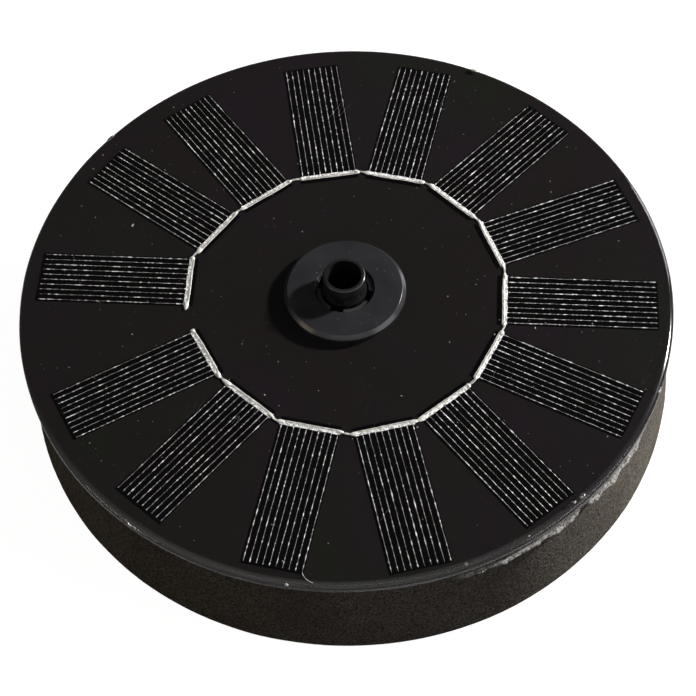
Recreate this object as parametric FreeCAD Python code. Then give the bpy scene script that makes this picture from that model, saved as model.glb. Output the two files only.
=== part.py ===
"""Floating solar fountain pump.

A round solar panel lies on a foam float ring. A sealed pump hangs under the
panel's middle, inside the ring, and sends water up the outlet tube on top.

Frame: millimetres, +Z up. The origin is on the outlet tube's axis, in the
plane of the float's underside, which is the face the object rests on.
"""
import FreeCAD, Part
import math
import os

# ---- Driving dimensions: the float and the panel -----------------------------
FOAM_H = 26.0            # float ring, height
FOAM_R = 79.2            # float ring, outer radius at its underside
FOAM_TOP_R = 76.9        # the ring's side leans in towards the panel
FOAM_HOLE_R = 36.0       # float ring, hole that the pump sits in
FOAM_SHIFT = (0.6, -0.4)     # the ring is glued on a little off centre
TAPE_T = 0.1             # adhesive film between float and board
BOARD_T = 1.2            # circuit board that carries the cells
RESIN_T = 1.2            # clear resin cast over the cells
PANEL_R = 78.5           # resin, outer radius
BOARD_R = 78.2
RIM_W = 1.65             # the resin's top edge rounds off over this width
RIM_H = 1.1              # and this height
PANEL_HOLE_R = 7.2       # hole in board and resin for the pump's neck

# ---- Driving dimensions: the cells -------------------------------------------
RING_CENTRE = (0.5, -1.0)    # the ring of cells is laid a little off centre
CELL_W = 14.1
CELL_L = 38.05
CELL_T = 0.2
FINGER_START_R = 38.4        # where a cell's printed fingers begin
BUS_DEPTH = 2.2              # cell margin inside the finger start, under the bus bar
RIBBON_W = 0.65
RIBBON_T = 0.12
RIBBON_INSET = 0.95          # ribbon's middle line, inside the finger start
RIBBON_HALF = 7.2            # half of a ribbon's straight length along a cell
SOLDER_R = 0.6
SOLDER_H = 0.3

# Each cell is laid by hand: its place round the ring and its tilt (degrees),
# and how far it slips outwards (mm). The wide gap is between last and first.
CELL_PLACES = (
    (170.0, 4.0, 0.9), (145.5, -5.0, 0.1), (120.5, 3.0, -0.4), (94.5, 1.0, -0.2),
    (69.5, 4.5, 0.4), (45.0, -2.0, 0.9), (20.5, -2.0, 0.6), (-5.0, -1.0, 0.0),
    (-30.0, 0.0, -0.2), (-55.5, 1.5, 0.0), (-79.5, -0.5, 0.1), (-105.5, 0.5, -0.4),
    (-131.0, -2.5, -1.1), (-157.5, 3.0, -0.8),
)

# ---- Driving dimensions: the outlet ------------------------------------------
TUBE_R = 5.1             # outlet tube, outer radius: the nozzle pushes over it
TUBE_BORE_R = 4.15       # outlet tube, bore
TUBE_FOOT_R = 5.3        # thicker foot, level with the collar, that the nozzle stops on
TUBE_RISE = 6.9          # tube's rim above the panel
COLLAR_R = 14.7
COLLAR_H = 1.7
COLLAR_EDGE = 0.9        # bevel of the collar's rim
COLLAR_BORE_R = 6.95
LEDGE_R = 6.75           # ledge in the collar's bore that the tongues hook over
LEDGE_H = 0.6
TONGUE_IN_R = 5.7
TONGUE_OUT_R = 6.7
TONGUE_HOOK_R = 6.9
TONGUE_RISE = 1.0        # tongues' tops above the panel
TONGUE_SPAN = 60.0       # degrees
TONGUE_ANGLES = (-65.0, 25.0, 115.0, 205.0)

# ---- Driving dimensions: the pump --------------------------------------------
DRUM_R = 30.0            # pump case, outer radius
WALL = 1.6
SKIRT_R = 28.3           # case's lower rim, which the strainer pushes over
SKIRT_WALL = 1.4
SKIRT_Z = 5.0
DRUM_Z = 8.4
LID_T = 1.2
PAD_T = 0.8              # gasket and glue between the pump and the board
RISER_R = 5.6            # water riser inside the case
STRAINER_Z = 1.5
STRAINER_FLOOR = 1.4
STRAINER_GAP = 0.3       # push-fit clearance of the strainer's skirt
SLOT_W = 1.8
SLOT_COUNT = 24
COVER_Z = 5.8            # volute cover, underside
COVER_T = 1.4
VOLUTE_R = 9.2
VOLUTE_TOP = 11.6
VOLUTE_WALL = 1.2
BULKHEAD_T = 1.2
CHANNEL_Y = (3.2, 9.2)   # channel from the volute to the riser
EYE_R = 4.8              # water inlet in the volute cover
HUB_R = 2.6

# ---- Driving dimensions: the rotor and the motor -----------------------------
ROTOR_X = -14.0          # the rotor turns beside the riser
WELL_R = 6.0             # inside of the dry cup that the rotor turns in
WELL_WALL = 1.0
WELL_TOP = 20.9
MAGNET_R = 5.5
MAGNET_Z = (12.4, 20.0)
STEM_R = 2.6
STEM_TOP = 20.2
SHAFT_R = 1.0
SHAFT_CLEARANCE = 0.05
SHAFT_Z = (6.5, 21.2)
BUSH_R = 1.9
IMPELLER_R = 7.4
IMPELLER_Z = (7.9, 11.2)
IMPELLER_DISC = 0.8
VANE_T = 0.8
VANE_COUNT = 6
CORE_Z = (15.2, 20.2)    # stack of iron sheets
CORE_BORE_R = 7.2
POLE_X = (-21.5, -6.5)
POLE_GAP = 2.2           # half of the slot between the poles
LEG_Y = (8.5, 12.5)
YOKE_X = (14.0, 18.0)
BOBBIN_X = (-4.0, 13.0)
BOBBIN_WALL = 0.5
FLANGE_T = 0.8
FLANGE_REACH = 2.1       # flange beyond the leg
WINDING_REACH = 1.8
DRIVER_Z = 22.4
DRIVER_T = 0.8
DRIVER_R = 26.0
DRIVER_HOLE_R = 6.4
LEAD_R = 0.5
LEAD_PLACE = (10.4, 2.6)

# ---- Levels worked out from the above ----------------------------------------
BOARD_Z = FOAM_H + TAPE_T
CELL_Z = BOARD_Z + BOARD_T
CELL_TOP = CELL_Z + CELL_T
RIBBON_TOP = CELL_TOP + RIBBON_T
PANEL_TOP = CELL_Z + RESIN_T
TUBE_TOP = PANEL_TOP + TUBE_RISE
CASE_TOP = BOARD_Z - PAD_T
LID_Z = CASE_TOP - LID_T
BULKHEAD_Z = VOLUTE_TOP
MOTOR_Z = VOLUTE_TOP + BULKHEAD_T
VOLUTE_Z = COVER_Z + COVER_T
DRIVER_TOP = DRIVER_Z + DRIVER_T
DRUM_IN_R = DRUM_R - WALL
SKIRT_IN_R = SKIRT_R - SKIRT_WALL


# ---- Shapes ------------------------------------------------------------------
def vec(x, y, z=0.0):
    return FreeCAD.Vector(x, y, z)


def disc(radius, z0, z1, x=0.0, y=0.0):
    """An upright cylinder between two heights."""
    return Part.makeCylinder(radius, z1 - z0, vec(x, y, z0))


def ring(outer, inner, z0, z1, x=0.0, y=0.0):
    """An upright tube between two heights."""
    return disc(outer, z0, z1, x, y).cut(disc(inner, z0 - 1, z1 + 1, x, y))


def block(xs, ys, zs):
    """A box given by its low and high X, Y and Z."""
    size = (xs[1] - xs[0], ys[1] - ys[0], zs[1] - zs[0])
    return Part.makeBox(*size, vec(xs[0], ys[0], zs[0]))


def mirrored(shape):
    """The same shape on the other side of the XZ plane."""
    return shape.mirror(vec(0, 0), vec(0, 1))


def fuse(shapes):
    """One solid out of pieces that touch or overlap."""
    return shapes[0].multiFuse(shapes[1:]).removeSplitter()


def sector(outer, inner, z0, z1, middle, span):
    """A tube's arc, span degrees wide, about the direction called middle."""
    wedge = Part.makeCylinder(outer, z1 - z0, vec(0, 0, z0), vec(0, 0, 1), span)
    arc = wedge.cut(disc(inner, z0 - 1, z1 + 1))
    return arc.rotate(vec(0, 0), vec(0, 0, 1), middle - span / 2)


def revolved(points):
    """A solid of revolution about Z from (radius, height) points.

    A point of three numbers, (radius, height, "arc"), is the middle of an arc
    from the point before it to the point after it.
    """
    edges = []
    count = len(points)
    index = 0
    while index < count:
        here = points[index]
        after = points[(index + 1) % count]
        if len(after) == 3:
            end = points[(index + 2) % count]
            edges.append(Part.Arc(*[vec(p[0], 0, p[1]) for p in (here, after, end)]).toShape())
            index += 2
        else:
            edges.append(Part.LineSegment(vec(here[0], 0, here[1]), vec(after[0], 0, after[1])).toShape())
            index += 1
    face = Part.Face(Part.Wire(edges))
    return face.revolve(vec(0, 0), vec(0, 0, 1), 360)


def arc_middle(centre, radius, degrees):
    """A point of a rounding, for revolved()."""
    turn = math.radians(degrees)
    return (centre[0] + radius * math.cos(turn), centre[1] + radius * math.sin(turn), "arc")


def strip(points, width, z0, z1):
    """A flat ribbon along a route of plan points, with mitred corners."""
    left, right = [], []
    last = len(points) - 1
    for i, point in enumerate(points):
        before = points[max(i - 1, 0)]
        after = points[min(i + 1, last)]
        into = (point - before).normalize() if i > 0 else (after - point).normalize()
        out = (after - point).normalize() if i < last else into
        side_in = vec(-into.y, into.x)
        side_out = vec(-out.y, out.x)
        side = (side_in + side_out).normalize()
        reach = width / 2 / side.dot(side_in)
        left.append(point + side * reach)
        right.append(point - side * reach)
    outline = left + right[::-1]
    face = Part.Face(Part.makePolygon(outline + outline[:1]))
    face.translate(vec(0, 0, z0))
    return face.extrude(vec(0, 0, z1 - z0))


def save(name, shape):
    """Write one node's STEP file."""
    if not shape.isValid():
        raise ValueError(name + " is not a valid shape")
    shape.exportStep("parts/" + name + ".step")
    print("%-26s %10.2f mm3" % (name, shape.Volume))


# ---- Panel -------------------------------------------------------------------
def cell_frame(place):
    """A cell's finger start, its outward direction and its sideways direction."""
    angle, tilt, slip = place
    turn = math.radians(angle)
    start_r = FINGER_START_R + slip
    start = vec(RING_CENTRE[0] + start_r * math.cos(turn), RING_CENTRE[1] + start_r * math.sin(turn))
    heading = turn + math.radians(tilt)
    out = vec(math.cos(heading), math.sin(heading))
    side = vec(math.sin(heading), -math.cos(heading))
    return start, out, side


def solar_cell(place):
    """A thin silicon plate, longer outwards than it is wide."""
    start, out, side = cell_frame(place)
    inner = start - out * BUS_DEPTH
    outer = inner + out * CELL_L
    half = side * (CELL_W / 2)
    corners = [inner - half, inner + half, outer + half, outer - half]
    face = Part.Face(Part.makePolygon(corners + corners[:1]))
    face.translate(vec(0, 0, CELL_Z))
    return face.extrude(vec(0, 0, CELL_T))


def ribbon_ends(place):
    """Both ends of the ribbon along a cell's inner edge, in the order of the string."""
    start, out, side = cell_frame(place)
    middle = start - out * RIBBON_INSET
    return middle - side * RIBBON_HALF, middle + side * RIBBON_HALF


def tab_ribbons():
    """Along each cell, then over the corner to the next one's ribbon."""
    ribbons = []
    ends = [ribbon_ends(place) for place in CELL_PLACES]
    for i, (first, last) in enumerate(ends):
        route = [first, last]
        if i + 1 < len(ends):
            onward = ends[i + 1][0] - last
            gap = onward.Length
            route.append(last + onward * ((gap - 0.05) / gap))
        ribbons.append(strip(route, RIBBON_W, CELL_TOP, RIBBON_TOP))
    return ribbons


def solder_joints():
    """A flat bead of solder at each end of each ribbon's straight part."""
    beads = []
    ball_r = (SOLDER_R ** 2 + SOLDER_H ** 2) / (2 * SOLDER_H)
    for place in CELL_PLACES:
        for end in ribbon_ends(place):
            ball = Part.makeSphere(ball_r, vec(end.x, end.y, RIBBON_TOP + SOLDER_H - ball_r))
            beads.append(ball.common(disc(SOLDER_R * 2, RIBBON_TOP, PANEL_TOP, end.x, end.y)))
    return beads


def lead_places():
    return [(LEAD_PLACE[0], sign * LEAD_PLACE[1]) for sign in (1, -1)]


def lead_solder():
    """The domes that hold the two supply leads, under the collar."""
    radius, height = 1.1, 0.5
    ball_r = (radius ** 2 + height ** 2) / (2 * height)
    domes = []
    for x, y in lead_places():
        ball = Part.makeSphere(ball_r, vec(x, y, CELL_Z + height - ball_r))
        domes.append(ball.common(disc(radius * 2, CELL_Z, PANEL_TOP, x, y)))
    return domes


def panel_board():
    board = disc(BOARD_R, BOARD_Z, CELL_Z).cut(disc(PANEL_HOLE_R, BOARD_Z - 1, PANEL_TOP))
    return board.cut([disc(LEAD_R, BOARD_Z - 1, PANEL_TOP, x, y) for x, y in lead_places()])


def panel_resin(buried):
    """The clear layer, with a rounded rim and a pocket round each thing in it.

    The rim's arc leaves the top level and ends on the wall, so its radius follows
    from its width and height.
    """
    radius = (RIM_W ** 2 + RIM_H ** 2) / (2 * RIM_H)
    centre = (PANEL_R - RIM_W, PANEL_TOP - radius)
    wall_end = math.degrees(math.acos(RIM_W / radius))
    layer = revolved([
        (PANEL_HOLE_R, CELL_Z), (PANEL_R, CELL_Z), (PANEL_R, PANEL_TOP - RIM_H),
        arc_middle(centre, radius, (wall_end + 90) / 2), (centre[0], PANEL_TOP),
        (PANEL_HOLE_R, PANEL_TOP),
    ])
    return layer.cut(buried)


# ---- Float -------------------------------------------------------------------
def float_ring():
    body = Part.makeCone(FOAM_R, FOAM_TOP_R, FOAM_H, vec(*FOAM_SHIFT))
    return body.cut(disc(FOAM_HOLE_R, -1, FOAM_H + 1, *FOAM_SHIFT))


def float_adhesive():
    edge = 1.4
    return ring(FOAM_TOP_R - edge, FOAM_HOLE_R + edge, FOAM_H, BOARD_Z)


# ---- Outlet ------------------------------------------------------------------
def outlet_collar():
    """A flat flange with a bevelled rim and a ledge inside its bore."""
    top = PANEL_TOP + COLLAR_H
    lead_in = 0.3
    return revolved([
        (LEDGE_R, PANEL_TOP), (COLLAR_R, PANEL_TOP),
        (COLLAR_R, top - COLLAR_EDGE), (COLLAR_R - COLLAR_EDGE, top),
        (COLLAR_BORE_R + lead_in, top), (COLLAR_BORE_R, top - lead_in),
        (COLLAR_BORE_R, PANEL_TOP + LEDGE_H), (LEDGE_R, PANEL_TOP + LEDGE_H),
    ])


def motor_lid():
    """Closes the motor space; its four tongues come up through the panel."""
    pieces = [ring(DRUM_IN_R - 0.1, TONGUE_IN_R, LID_Z, CASE_TOP)]
    tongue_top = PANEL_TOP + TONGUE_RISE
    hook_z = PANEL_TOP + LEDGE_H
    for middle in TONGUE_ANGLES:
        pieces.append(sector(TONGUE_OUT_R, TONGUE_IN_R, CASE_TOP, tongue_top, middle, TONGUE_SPAN))
        pieces.append(sector(TONGUE_HOOK_R, TONGUE_IN_R, hook_z, tongue_top, middle, TONGUE_SPAN))
    lid = fuse(pieces)
    return lid.cut([disc(LEAD_R + 0.3, LID_Z - 1, CASE_TOP + 1, x, y) for x, y in lead_places()])


# ---- Pump --------------------------------------------------------------------
def volute_outline(grow, z0, z1):
    """The spiral's round chamber, its channel and the foot of the riser."""
    return fuse([
        disc(VOLUTE_R + grow, z0, z1, ROTOR_X),
        block((ROTOR_X, 0), (CHANNEL_Y[0] - grow, CHANNEL_Y[1] + grow), (z0, z1)),
        disc(TUBE_R - 0.1 + grow, z0, z1, 0, CHANNEL_Y[1] - TUBE_R + 0.1),
        disc(TUBE_BORE_R + grow, z0, z1),
    ])


def outlet_rim(z_top):
    """The tube's bore and the round lip at its mouth, as a cutter."""
    middle_r = (TUBE_R + TUBE_BORE_R) / 2
    lip = (TUBE_R - TUBE_BORE_R) / 2
    return revolved([
        (middle_r, z_top), arc_middle((middle_r, z_top - lip), lip, 45), (TUBE_R, z_top - lip),
        (TUBE_R + 1, z_top - lip), (TUBE_R + 1, z_top + 1), (middle_r, z_top + 1),
    ])


def pump_case():
    """The round wall of the pump, with a ledge inside that the base rests on."""
    return fuse([
        ring(DRUM_R, DRUM_IN_R, BULKHEAD_Z, CASE_TOP),
        ring(DRUM_R, SKIRT_IN_R, DRUM_Z, BULKHEAD_Z),
        ring(SKIRT_R, SKIRT_IN_R, SKIRT_Z, DRUM_Z),
    ])


def pump_base():
    """Bulkhead, volute walls, rotor well, riser and outlet tube in one moulding."""
    well_out = WELL_R + WELL_WALL
    body = fuse([
        disc(DRUM_IN_R, BULKHEAD_Z, MOTOR_Z),
        volute_outline(VOLUTE_WALL, VOLUTE_Z, VOLUTE_TOP),
        disc(well_out, BULKHEAD_Z, WELL_TOP + WELL_WALL, ROTOR_X),
        disc(RISER_R, BULKHEAD_Z, CASE_TOP - 0.2),
        disc(TUBE_FOOT_R, BULKHEAD_Z, PANEL_TOP + COLLAR_H),
        disc(TUBE_R, BULKHEAD_Z, TUBE_TOP),
    ])
    hollows = [
        volute_outline(0.0, VOLUTE_Z - 1, VOLUTE_TOP),
        disc(WELL_R, VOLUTE_TOP - 1, WELL_TOP, ROTOR_X),
        disc(BUSH_R, WELL_TOP - 1, WELL_TOP + 0.6, ROTOR_X),
        disc(TUBE_BORE_R, VOLUTE_TOP - 1, TUBE_TOP + 1),
        outlet_rim(TUBE_TOP),
    ]
    return body.cut(hollows)


def volute_cover():
    """Plate under the impeller, with the water eye and a three-armed hub."""
    plate = volute_outline(VOLUTE_WALL, COVER_Z, VOLUTE_Z)
    plate = plate.cut(disc(EYE_R, COVER_Z - 1, VOLUTE_Z + 1, ROTOR_X))
    arms = [disc(HUB_R, COVER_Z, VOLUTE_Z, ROTOR_X)]
    for turn in (90, 210, 330):
        arm = block((0, EYE_R + 0.5), (-0.6, 0.6), (COVER_Z, VOLUTE_Z))
        arm = arm.rotate(vec(0, 0), vec(0, 0, 1), turn)
        arm.translate(vec(ROTOR_X, 0))
        arms.append(arm)
    plate = fuse([plate] + arms)
    return plate.cut(disc(BUSH_R, COVER_Z + 0.4, VOLUTE_Z + 1, ROTOR_X))


def strainer():
    """Push-on cup with slots in its floor and in its skirt."""
    inner = SKIRT_R + STRAINER_GAP
    floor_z = STRAINER_Z + STRAINER_FLOOR
    cup = fuse([
        disc(DRUM_R, STRAINER_Z, floor_z),
        ring(DRUM_R, inner, floor_z, DRUM_Z - STRAINER_GAP),
    ])
    slots = []
    for i in range(SLOT_COUNT):
        turn = 360 * i / SLOT_COUNT
        long_one = i % 2 == 0
        floor_slot = block((9 if long_one else 16, 25), (-SLOT_W / 2, SLOT_W / 2), (0, floor_z + 1))
        skirt_slot = block((26, DRUM_R + 1), (-SLOT_W / 2, SLOT_W / 2), (floor_z + 0.4, floor_z + 3.4))
        for slot in (floor_slot, skirt_slot):
            slots.append(slot.rotate(vec(0, 0), vec(0, 0, 1), turn))
    return cup.cut(slots)


# ---- Rotor -------------------------------------------------------------------
def rotor_shaft():
    return disc(SHAFT_R, SHAFT_Z[0], SHAFT_Z[1], ROTOR_X)


def upper_bush():
    bush = disc(BUSH_R, STEM_TOP + 0.15, WELL_TOP + 0.6, ROTOR_X)
    return bush.cut(disc(SHAFT_R, STEM_TOP - 1, SHAFT_Z[1], ROTOR_X))


def lower_bush():
    bush = disc(BUSH_R, COVER_Z + 0.4, IMPELLER_Z[0] - 0.3, ROTOR_X)
    return bush.cut(disc(SHAFT_R, SHAFT_Z[0], IMPELLER_Z[0] + 1, ROTOR_X))


def impeller():
    """Disc with curved-back vanes below and a stem up through the magnet."""
    low, high = IMPELLER_Z
    pieces = [
        disc(HUB_R, low, high, ROTOR_X),
        disc(IMPELLER_R, high - IMPELLER_DISC, high, ROTOR_X),
        disc(STEM_R, low, STEM_TOP, ROTOR_X),
    ]
    for i in range(VANE_COUNT):
        vane = block((0.5, IMPELLER_R - 0.3), (1.2, 1.2 + VANE_T), (low, high))
        vane = vane.rotate(vec(0, 0), vec(0, 0, 1), 360 * i / VANE_COUNT)
        vane.translate(vec(ROTOR_X, 0))
        pieces.append(vane)
    return fuse(pieces).cut(disc(SHAFT_R + SHAFT_CLEARANCE, low - 1, STEM_TOP + 1, ROTOR_X))


def rotor_magnet():
    return ring(MAGNET_R, STEM_R, MAGNET_Z[0], MAGNET_Z[1], ROTOR_X)


# ---- Motor -------------------------------------------------------------------
def stator_core():
    """U-shaped stack: two poles round the well, two legs and a yoke behind the riser."""
    leg = block((POLE_X[0], YOKE_X[1]), LEG_Y, CORE_Z)
    pole = block(POLE_X, (POLE_GAP, LEG_Y[0] + 1), CORE_Z)
    yoke = block(YOKE_X, (-LEG_Y[1], LEG_Y[1]), CORE_Z)
    core = fuse([leg, pole, mirrored(leg), mirrored(pole), yoke])
    return core.cut(disc(CORE_BORE_R, CORE_Z[0] - 1, CORE_Z[1] + 1, ROTOR_X))


def grown_leg(reach, xs):
    """A leg's section, larger all round, between two X."""
    return block(xs, (LEG_Y[0] - reach, LEG_Y[1] + reach), (CORE_Z[0] - reach, CORE_Z[1] + reach))


def coil_bobbin():
    low, high = BOBBIN_X
    bobbin = fuse([
        grown_leg(BOBBIN_WALL, BOBBIN_X),
        grown_leg(FLANGE_REACH, (low, low + FLANGE_T)),
        grown_leg(FLANGE_REACH, (high - FLANGE_T, high)),
    ])
    return bobbin.cut(grown_leg(0.0, (low - 1, high + 1)))


def coil_winding():
    xs = (BOBBIN_X[0] + FLANGE_T, BOBBIN_X[1] - FLANGE_T)
    coil = grown_leg(WINDING_REACH, xs)
    long_edges = [e for e in coil.Edges if abs(e.BoundBox.XLength - (xs[1] - xs[0])) < 1e-6]
    coil = coil.makeFillet(1.0, long_edges)
    return coil.cut(grown_leg(BOBBIN_WALL, (xs[0] - 1, xs[1] + 1)))


def driver_board():
    return ring(DRIVER_R, DRIVER_HOLE_R, DRIVER_Z, DRIVER_TOP)


def hall_sensor():
    """Three-legged sensor beside the well, hanging from the driver board."""
    body = block((-22.9, -21.6), (-2.0, 2.0), (17.0, 20.0))
    legs = [block((-22.45, -22.05), (y - 0.2, y + 0.2), (19.5, DRIVER_Z)) for y in (-1.27, 0, 1.27)]
    return fuse([body] + legs)


def driver_chip():
    return block((12.5, 17.5), (-11.0, -7.0), (DRIVER_TOP, DRIVER_TOP + 0.7))


def smoothing_capacitor():
    return block((14.0, 17.2), (7.5, 9.1), (DRIVER_TOP, DRIVER_TOP + 0.7))


def supply_lead(x, y):
    return disc(LEAD_R, DRIVER_TOP, CELL_Z, x, y)


def motor_potting(buried):
    """Resin that fills the motor space and keeps the water out."""
    return disc(DRUM_IN_R, MOTOR_Z, LID_Z - 0.1).cut(buried)


def main():
    os.makedirs("parts", exist_ok=True)
    cells = [solar_cell(place) for place in CELL_PLACES]
    ribbons = tab_ribbons()
    beads = solder_joints()
    domes = lead_solder()
    nodes = {
        "panel_board": panel_board(),
        "panel_resin": panel_resin(cells + ribbons + beads + domes),
        "solder_joints": Part.makeCompound(beads),
        "float_ring": float_ring(),
        "float_adhesive": float_adhesive(),
        "outlet_collar": outlet_collar(),
        "motor_lid": motor_lid(),
        "pump_case": pump_case(),
        "pump_base": pump_base(),
        "neck_gasket": ring(9.2, PANEL_HOLE_R + 0.1, CASE_TOP, BOARD_Z),
        "pump_adhesive": ring(28.0, 12.5, CASE_TOP, BOARD_Z),
        "volute_cover": volute_cover(),
        "strainer": strainer(),
        "rotor_shaft": rotor_shaft(),
        "upper_bush": upper_bush(),
        "lower_bush": lower_bush(),
        "impeller": impeller(),
        "rotor_magnet": rotor_magnet(),
    }
    for i, (cell, ribbon) in enumerate(zip(cells, ribbons)):
        nodes["solar_cell_%02d" % (i + 1)] = cell
        nodes["tab_ribbon_%02d" % (i + 1)] = ribbon

    motor = {
        "stator_core": stator_core(),
        "coil_bobbin_left": coil_bobbin(),
        "coil_bobbin_right": mirrored(coil_bobbin()),
        "coil_winding_left": coil_winding(),
        "coil_winding_right": mirrored(coil_winding()),
        "driver_board": driver_board(),
        "hall_sensor": hall_sensor(),
        "driver_chip": driver_chip(),
        "smoothing_capacitor": smoothing_capacitor(),
        "lead_positive": supply_lead(*lead_places()[0]),
        "lead_negative": supply_lead(*lead_places()[1]),
    }
    inside = list(motor.values()) + [
        disc(WELL_R + WELL_WALL, BULKHEAD_Z, WELL_TOP + WELL_WALL, ROTOR_X),
        disc(RISER_R, BULKHEAD_Z, CASE_TOP),
    ]
    nodes["motor_potting"] = motor_potting(inside)
    nodes["lead_solder"] = Part.makeCompound(domes)
    nodes.update(motor)
    for name, shape in sorted(nodes.items()):
        save(name, shape)


main()
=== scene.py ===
"""Looks for a floating solar fountain pump, made around the fixed frame of its CAD parts.

Lengths are metres. +Z is up, and the outlet tube stands on the origin's axis.
"""

import math

import bpy
import numpy as np
from bpy.props import FloatProperty, FloatVectorProperty, IntProperty, PointerProperty
from mathutils import Matrix, Vector


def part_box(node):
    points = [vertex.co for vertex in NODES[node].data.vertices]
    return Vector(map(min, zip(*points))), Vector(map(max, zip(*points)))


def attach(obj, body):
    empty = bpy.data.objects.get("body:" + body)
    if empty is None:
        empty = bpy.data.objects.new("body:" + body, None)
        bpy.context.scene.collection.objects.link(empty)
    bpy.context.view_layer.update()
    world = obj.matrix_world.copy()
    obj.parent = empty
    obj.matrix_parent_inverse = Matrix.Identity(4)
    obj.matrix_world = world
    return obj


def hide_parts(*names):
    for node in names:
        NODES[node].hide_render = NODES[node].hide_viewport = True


bl_info = {
    "name": "Floating Fountain Pump",
    "version": (1, 0, 0),
    "blender": (4, 5, 0),
    "location": "3D View > Sidebar > Fountain",
    "description": "Builds the visible pieces and the finishes of a floating solar fountain pump",
    "category": "Add Mesh",
}

MM = 0.001
FULL_TURN = 2 * math.pi

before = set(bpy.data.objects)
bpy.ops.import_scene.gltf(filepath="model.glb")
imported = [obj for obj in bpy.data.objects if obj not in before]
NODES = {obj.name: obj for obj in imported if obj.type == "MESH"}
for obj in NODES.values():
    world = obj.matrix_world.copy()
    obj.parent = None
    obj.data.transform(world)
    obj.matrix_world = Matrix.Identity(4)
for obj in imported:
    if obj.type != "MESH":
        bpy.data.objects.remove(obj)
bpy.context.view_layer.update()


# ---- Sizes read from the frame ------------------------------------------------
def node_points(name):
    """All points of a CAD node's mesh, one row each."""
    mesh = NODES[name].data
    points = np.empty(len(mesh.vertices) * 3)
    mesh.vertices.foreach_get("co", points)
    return points.reshape(-1, 3)


def radii(name, centre=(0.0, 0.0), above=-1.0):
    """Nearest and farthest distance of a node's points from an upright axis."""
    points = node_points(name)
    points = points[points[:, 2] > above]
    reach = np.hypot(points[:, 0] - centre[0], points[:, 1] - centre[1])
    return float(reach.min()), float(reach.max())


CELLS = sorted(name for name in NODES if name.startswith("solar_cell"))
RIBBONS = sorted(name for name in NODES if name.startswith("tab_ribbon"))
CELL_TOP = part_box(CELLS[0])[1].z
RIBBON_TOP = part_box(RIBBONS[0])[1].z
PANEL_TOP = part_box("panel_resin")[1].z
BOARD_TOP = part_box("panel_board")[1].z
PANEL_HOLE_R, PANEL_R = radii("panel_resin")
BOARD_R = radii("panel_board")[1]
FOAM_LOW, FOAM_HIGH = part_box("float_ring")
FOAM_CENTRE = ((FOAM_LOW.x + FOAM_HIGH.x) / 2, (FOAM_LOW.y + FOAM_HIGH.y) / 2)
FOAM_HOLE_R, FOAM_R = radii("float_ring", FOAM_CENTRE)
FOAM_TOP_R = radii("float_ring", FOAM_CENTRE, above=FOAM_HIGH.z - 0.1 * MM)[1]
COLLAR_LEDGE_R, COLLAR_R = radii("outlet_collar")
COLLAR_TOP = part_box("outlet_collar")[1].z
TONGUE_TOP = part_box("motor_lid")[1].z
TONGUE_IN_R, LID_R = radii("motor_lid")
TONGUE_OUT_R = radii("motor_lid", above=TONGUE_TOP - 0.2 * MM)[1]


def right_of(direction):
    """Plan directions a quarter turn to the right of the given ones."""
    return np.stack([direction[..., 1], -direction[..., 0]], axis=-1)


def cell_place(name):
    """A cell's inner edge middle, its outward direction and its sideways direction, in plan."""
    corners = np.unique(np.round(node_points(name)[:, :2], 6), axis=0)
    order = np.argsort(np.hypot(corners[:, 0], corners[:, 1]))
    inner = corners[order[:2]].mean(axis=0)
    outer = corners[order[2:]].mean(axis=0)
    out = (outer - inner) / np.linalg.norm(outer - inner)
    return inner, out, right_of(out)


# ---- Settings ----------------------------------------------------------------
def length_setting(name, description, default):
    return FloatProperty(name=name, description=description, default=default, min=0.0,
                         precision=5, subtype="DISTANCE", unit="LENGTH")


def angle_setting(name, description, degrees):
    return FloatProperty(name=name, description=description, default=math.radians(degrees),
                         subtype="ANGLE", unit="ROTATION")


def colour_setting(name, description, default):
    return FloatVectorProperty(name=name, description=description, default=default,
                               size=3, min=0.0, max=1.0, subtype="COLOR")


class PanelSettings(bpy.types.PropertyGroup):
    """Sizes and colours of the solar panel."""
    rim_width: length_setting("Rim width", "Width over which the resin rounds off", 1.65 * MM)
    rim_height: length_setting("Rim height", "Height over which the resin rounds off", 1.1 * MM)
    rim_ridge: length_setting("Rim ridge", "Height of the low ridge where the resin dried last", 0.02 * MM)
    skirt_drop: length_setting("Skirt drop", "How far the resin runs down the board's edge", 0.85 * MM)
    finger_count: IntProperty(name="Fingers", description="Printed silver lines on a cell", default=10, min=1)
    finger_pitch: length_setting("Finger pitch", "Distance from one printed line to the next", 1.478 * MM)
    finger_length: length_setting("Finger length", "Length of a printed line", 35.5 * MM)
    finger_width: length_setting("Finger width", "Mean width of a printed line", 0.095 * MM)
    print_height: length_setting("Print height", "Thickness of the silver print", 0.025 * MM)
    bus_inset: length_setting("Bus inset", "From a cell's inner edge to the start of its lines", 2.2 * MM)
    bus_depth: length_setting("Bus depth", "Width of the printed bar that joins the lines", 1.15 * MM)
    ribbon_width: length_setting("Ribbon width", "Width of the soldered ribbon", 0.57 * MM)
    ribbon_inset: length_setting("Ribbon inset", "From the lines' start in to the ribbon's middle", 0.95 * MM)
    board_colour: colour_setting("Board", "Black solder mask", (0.0108, 0.0093, 0.0088))
    cell_colour: colour_setting("Cell", "Bare silicon, textured to be dark", (0.0017, 0.0014, 0.0015))
    silver_colour: colour_setting("Silver print", "Fired silver paste", (0.88, 0.87, 0.85))
    tin_colour: colour_setting("Tin", "Tinned ribbon and solder", (0.86, 0.85, 0.82))
    dust_count: IntProperty(name="Dust", description="Light flecks lying on the panel", default=480, min=1)
    dust_size: length_setting("Dust size", "Width of a common fleck", 0.13 * MM)


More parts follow.
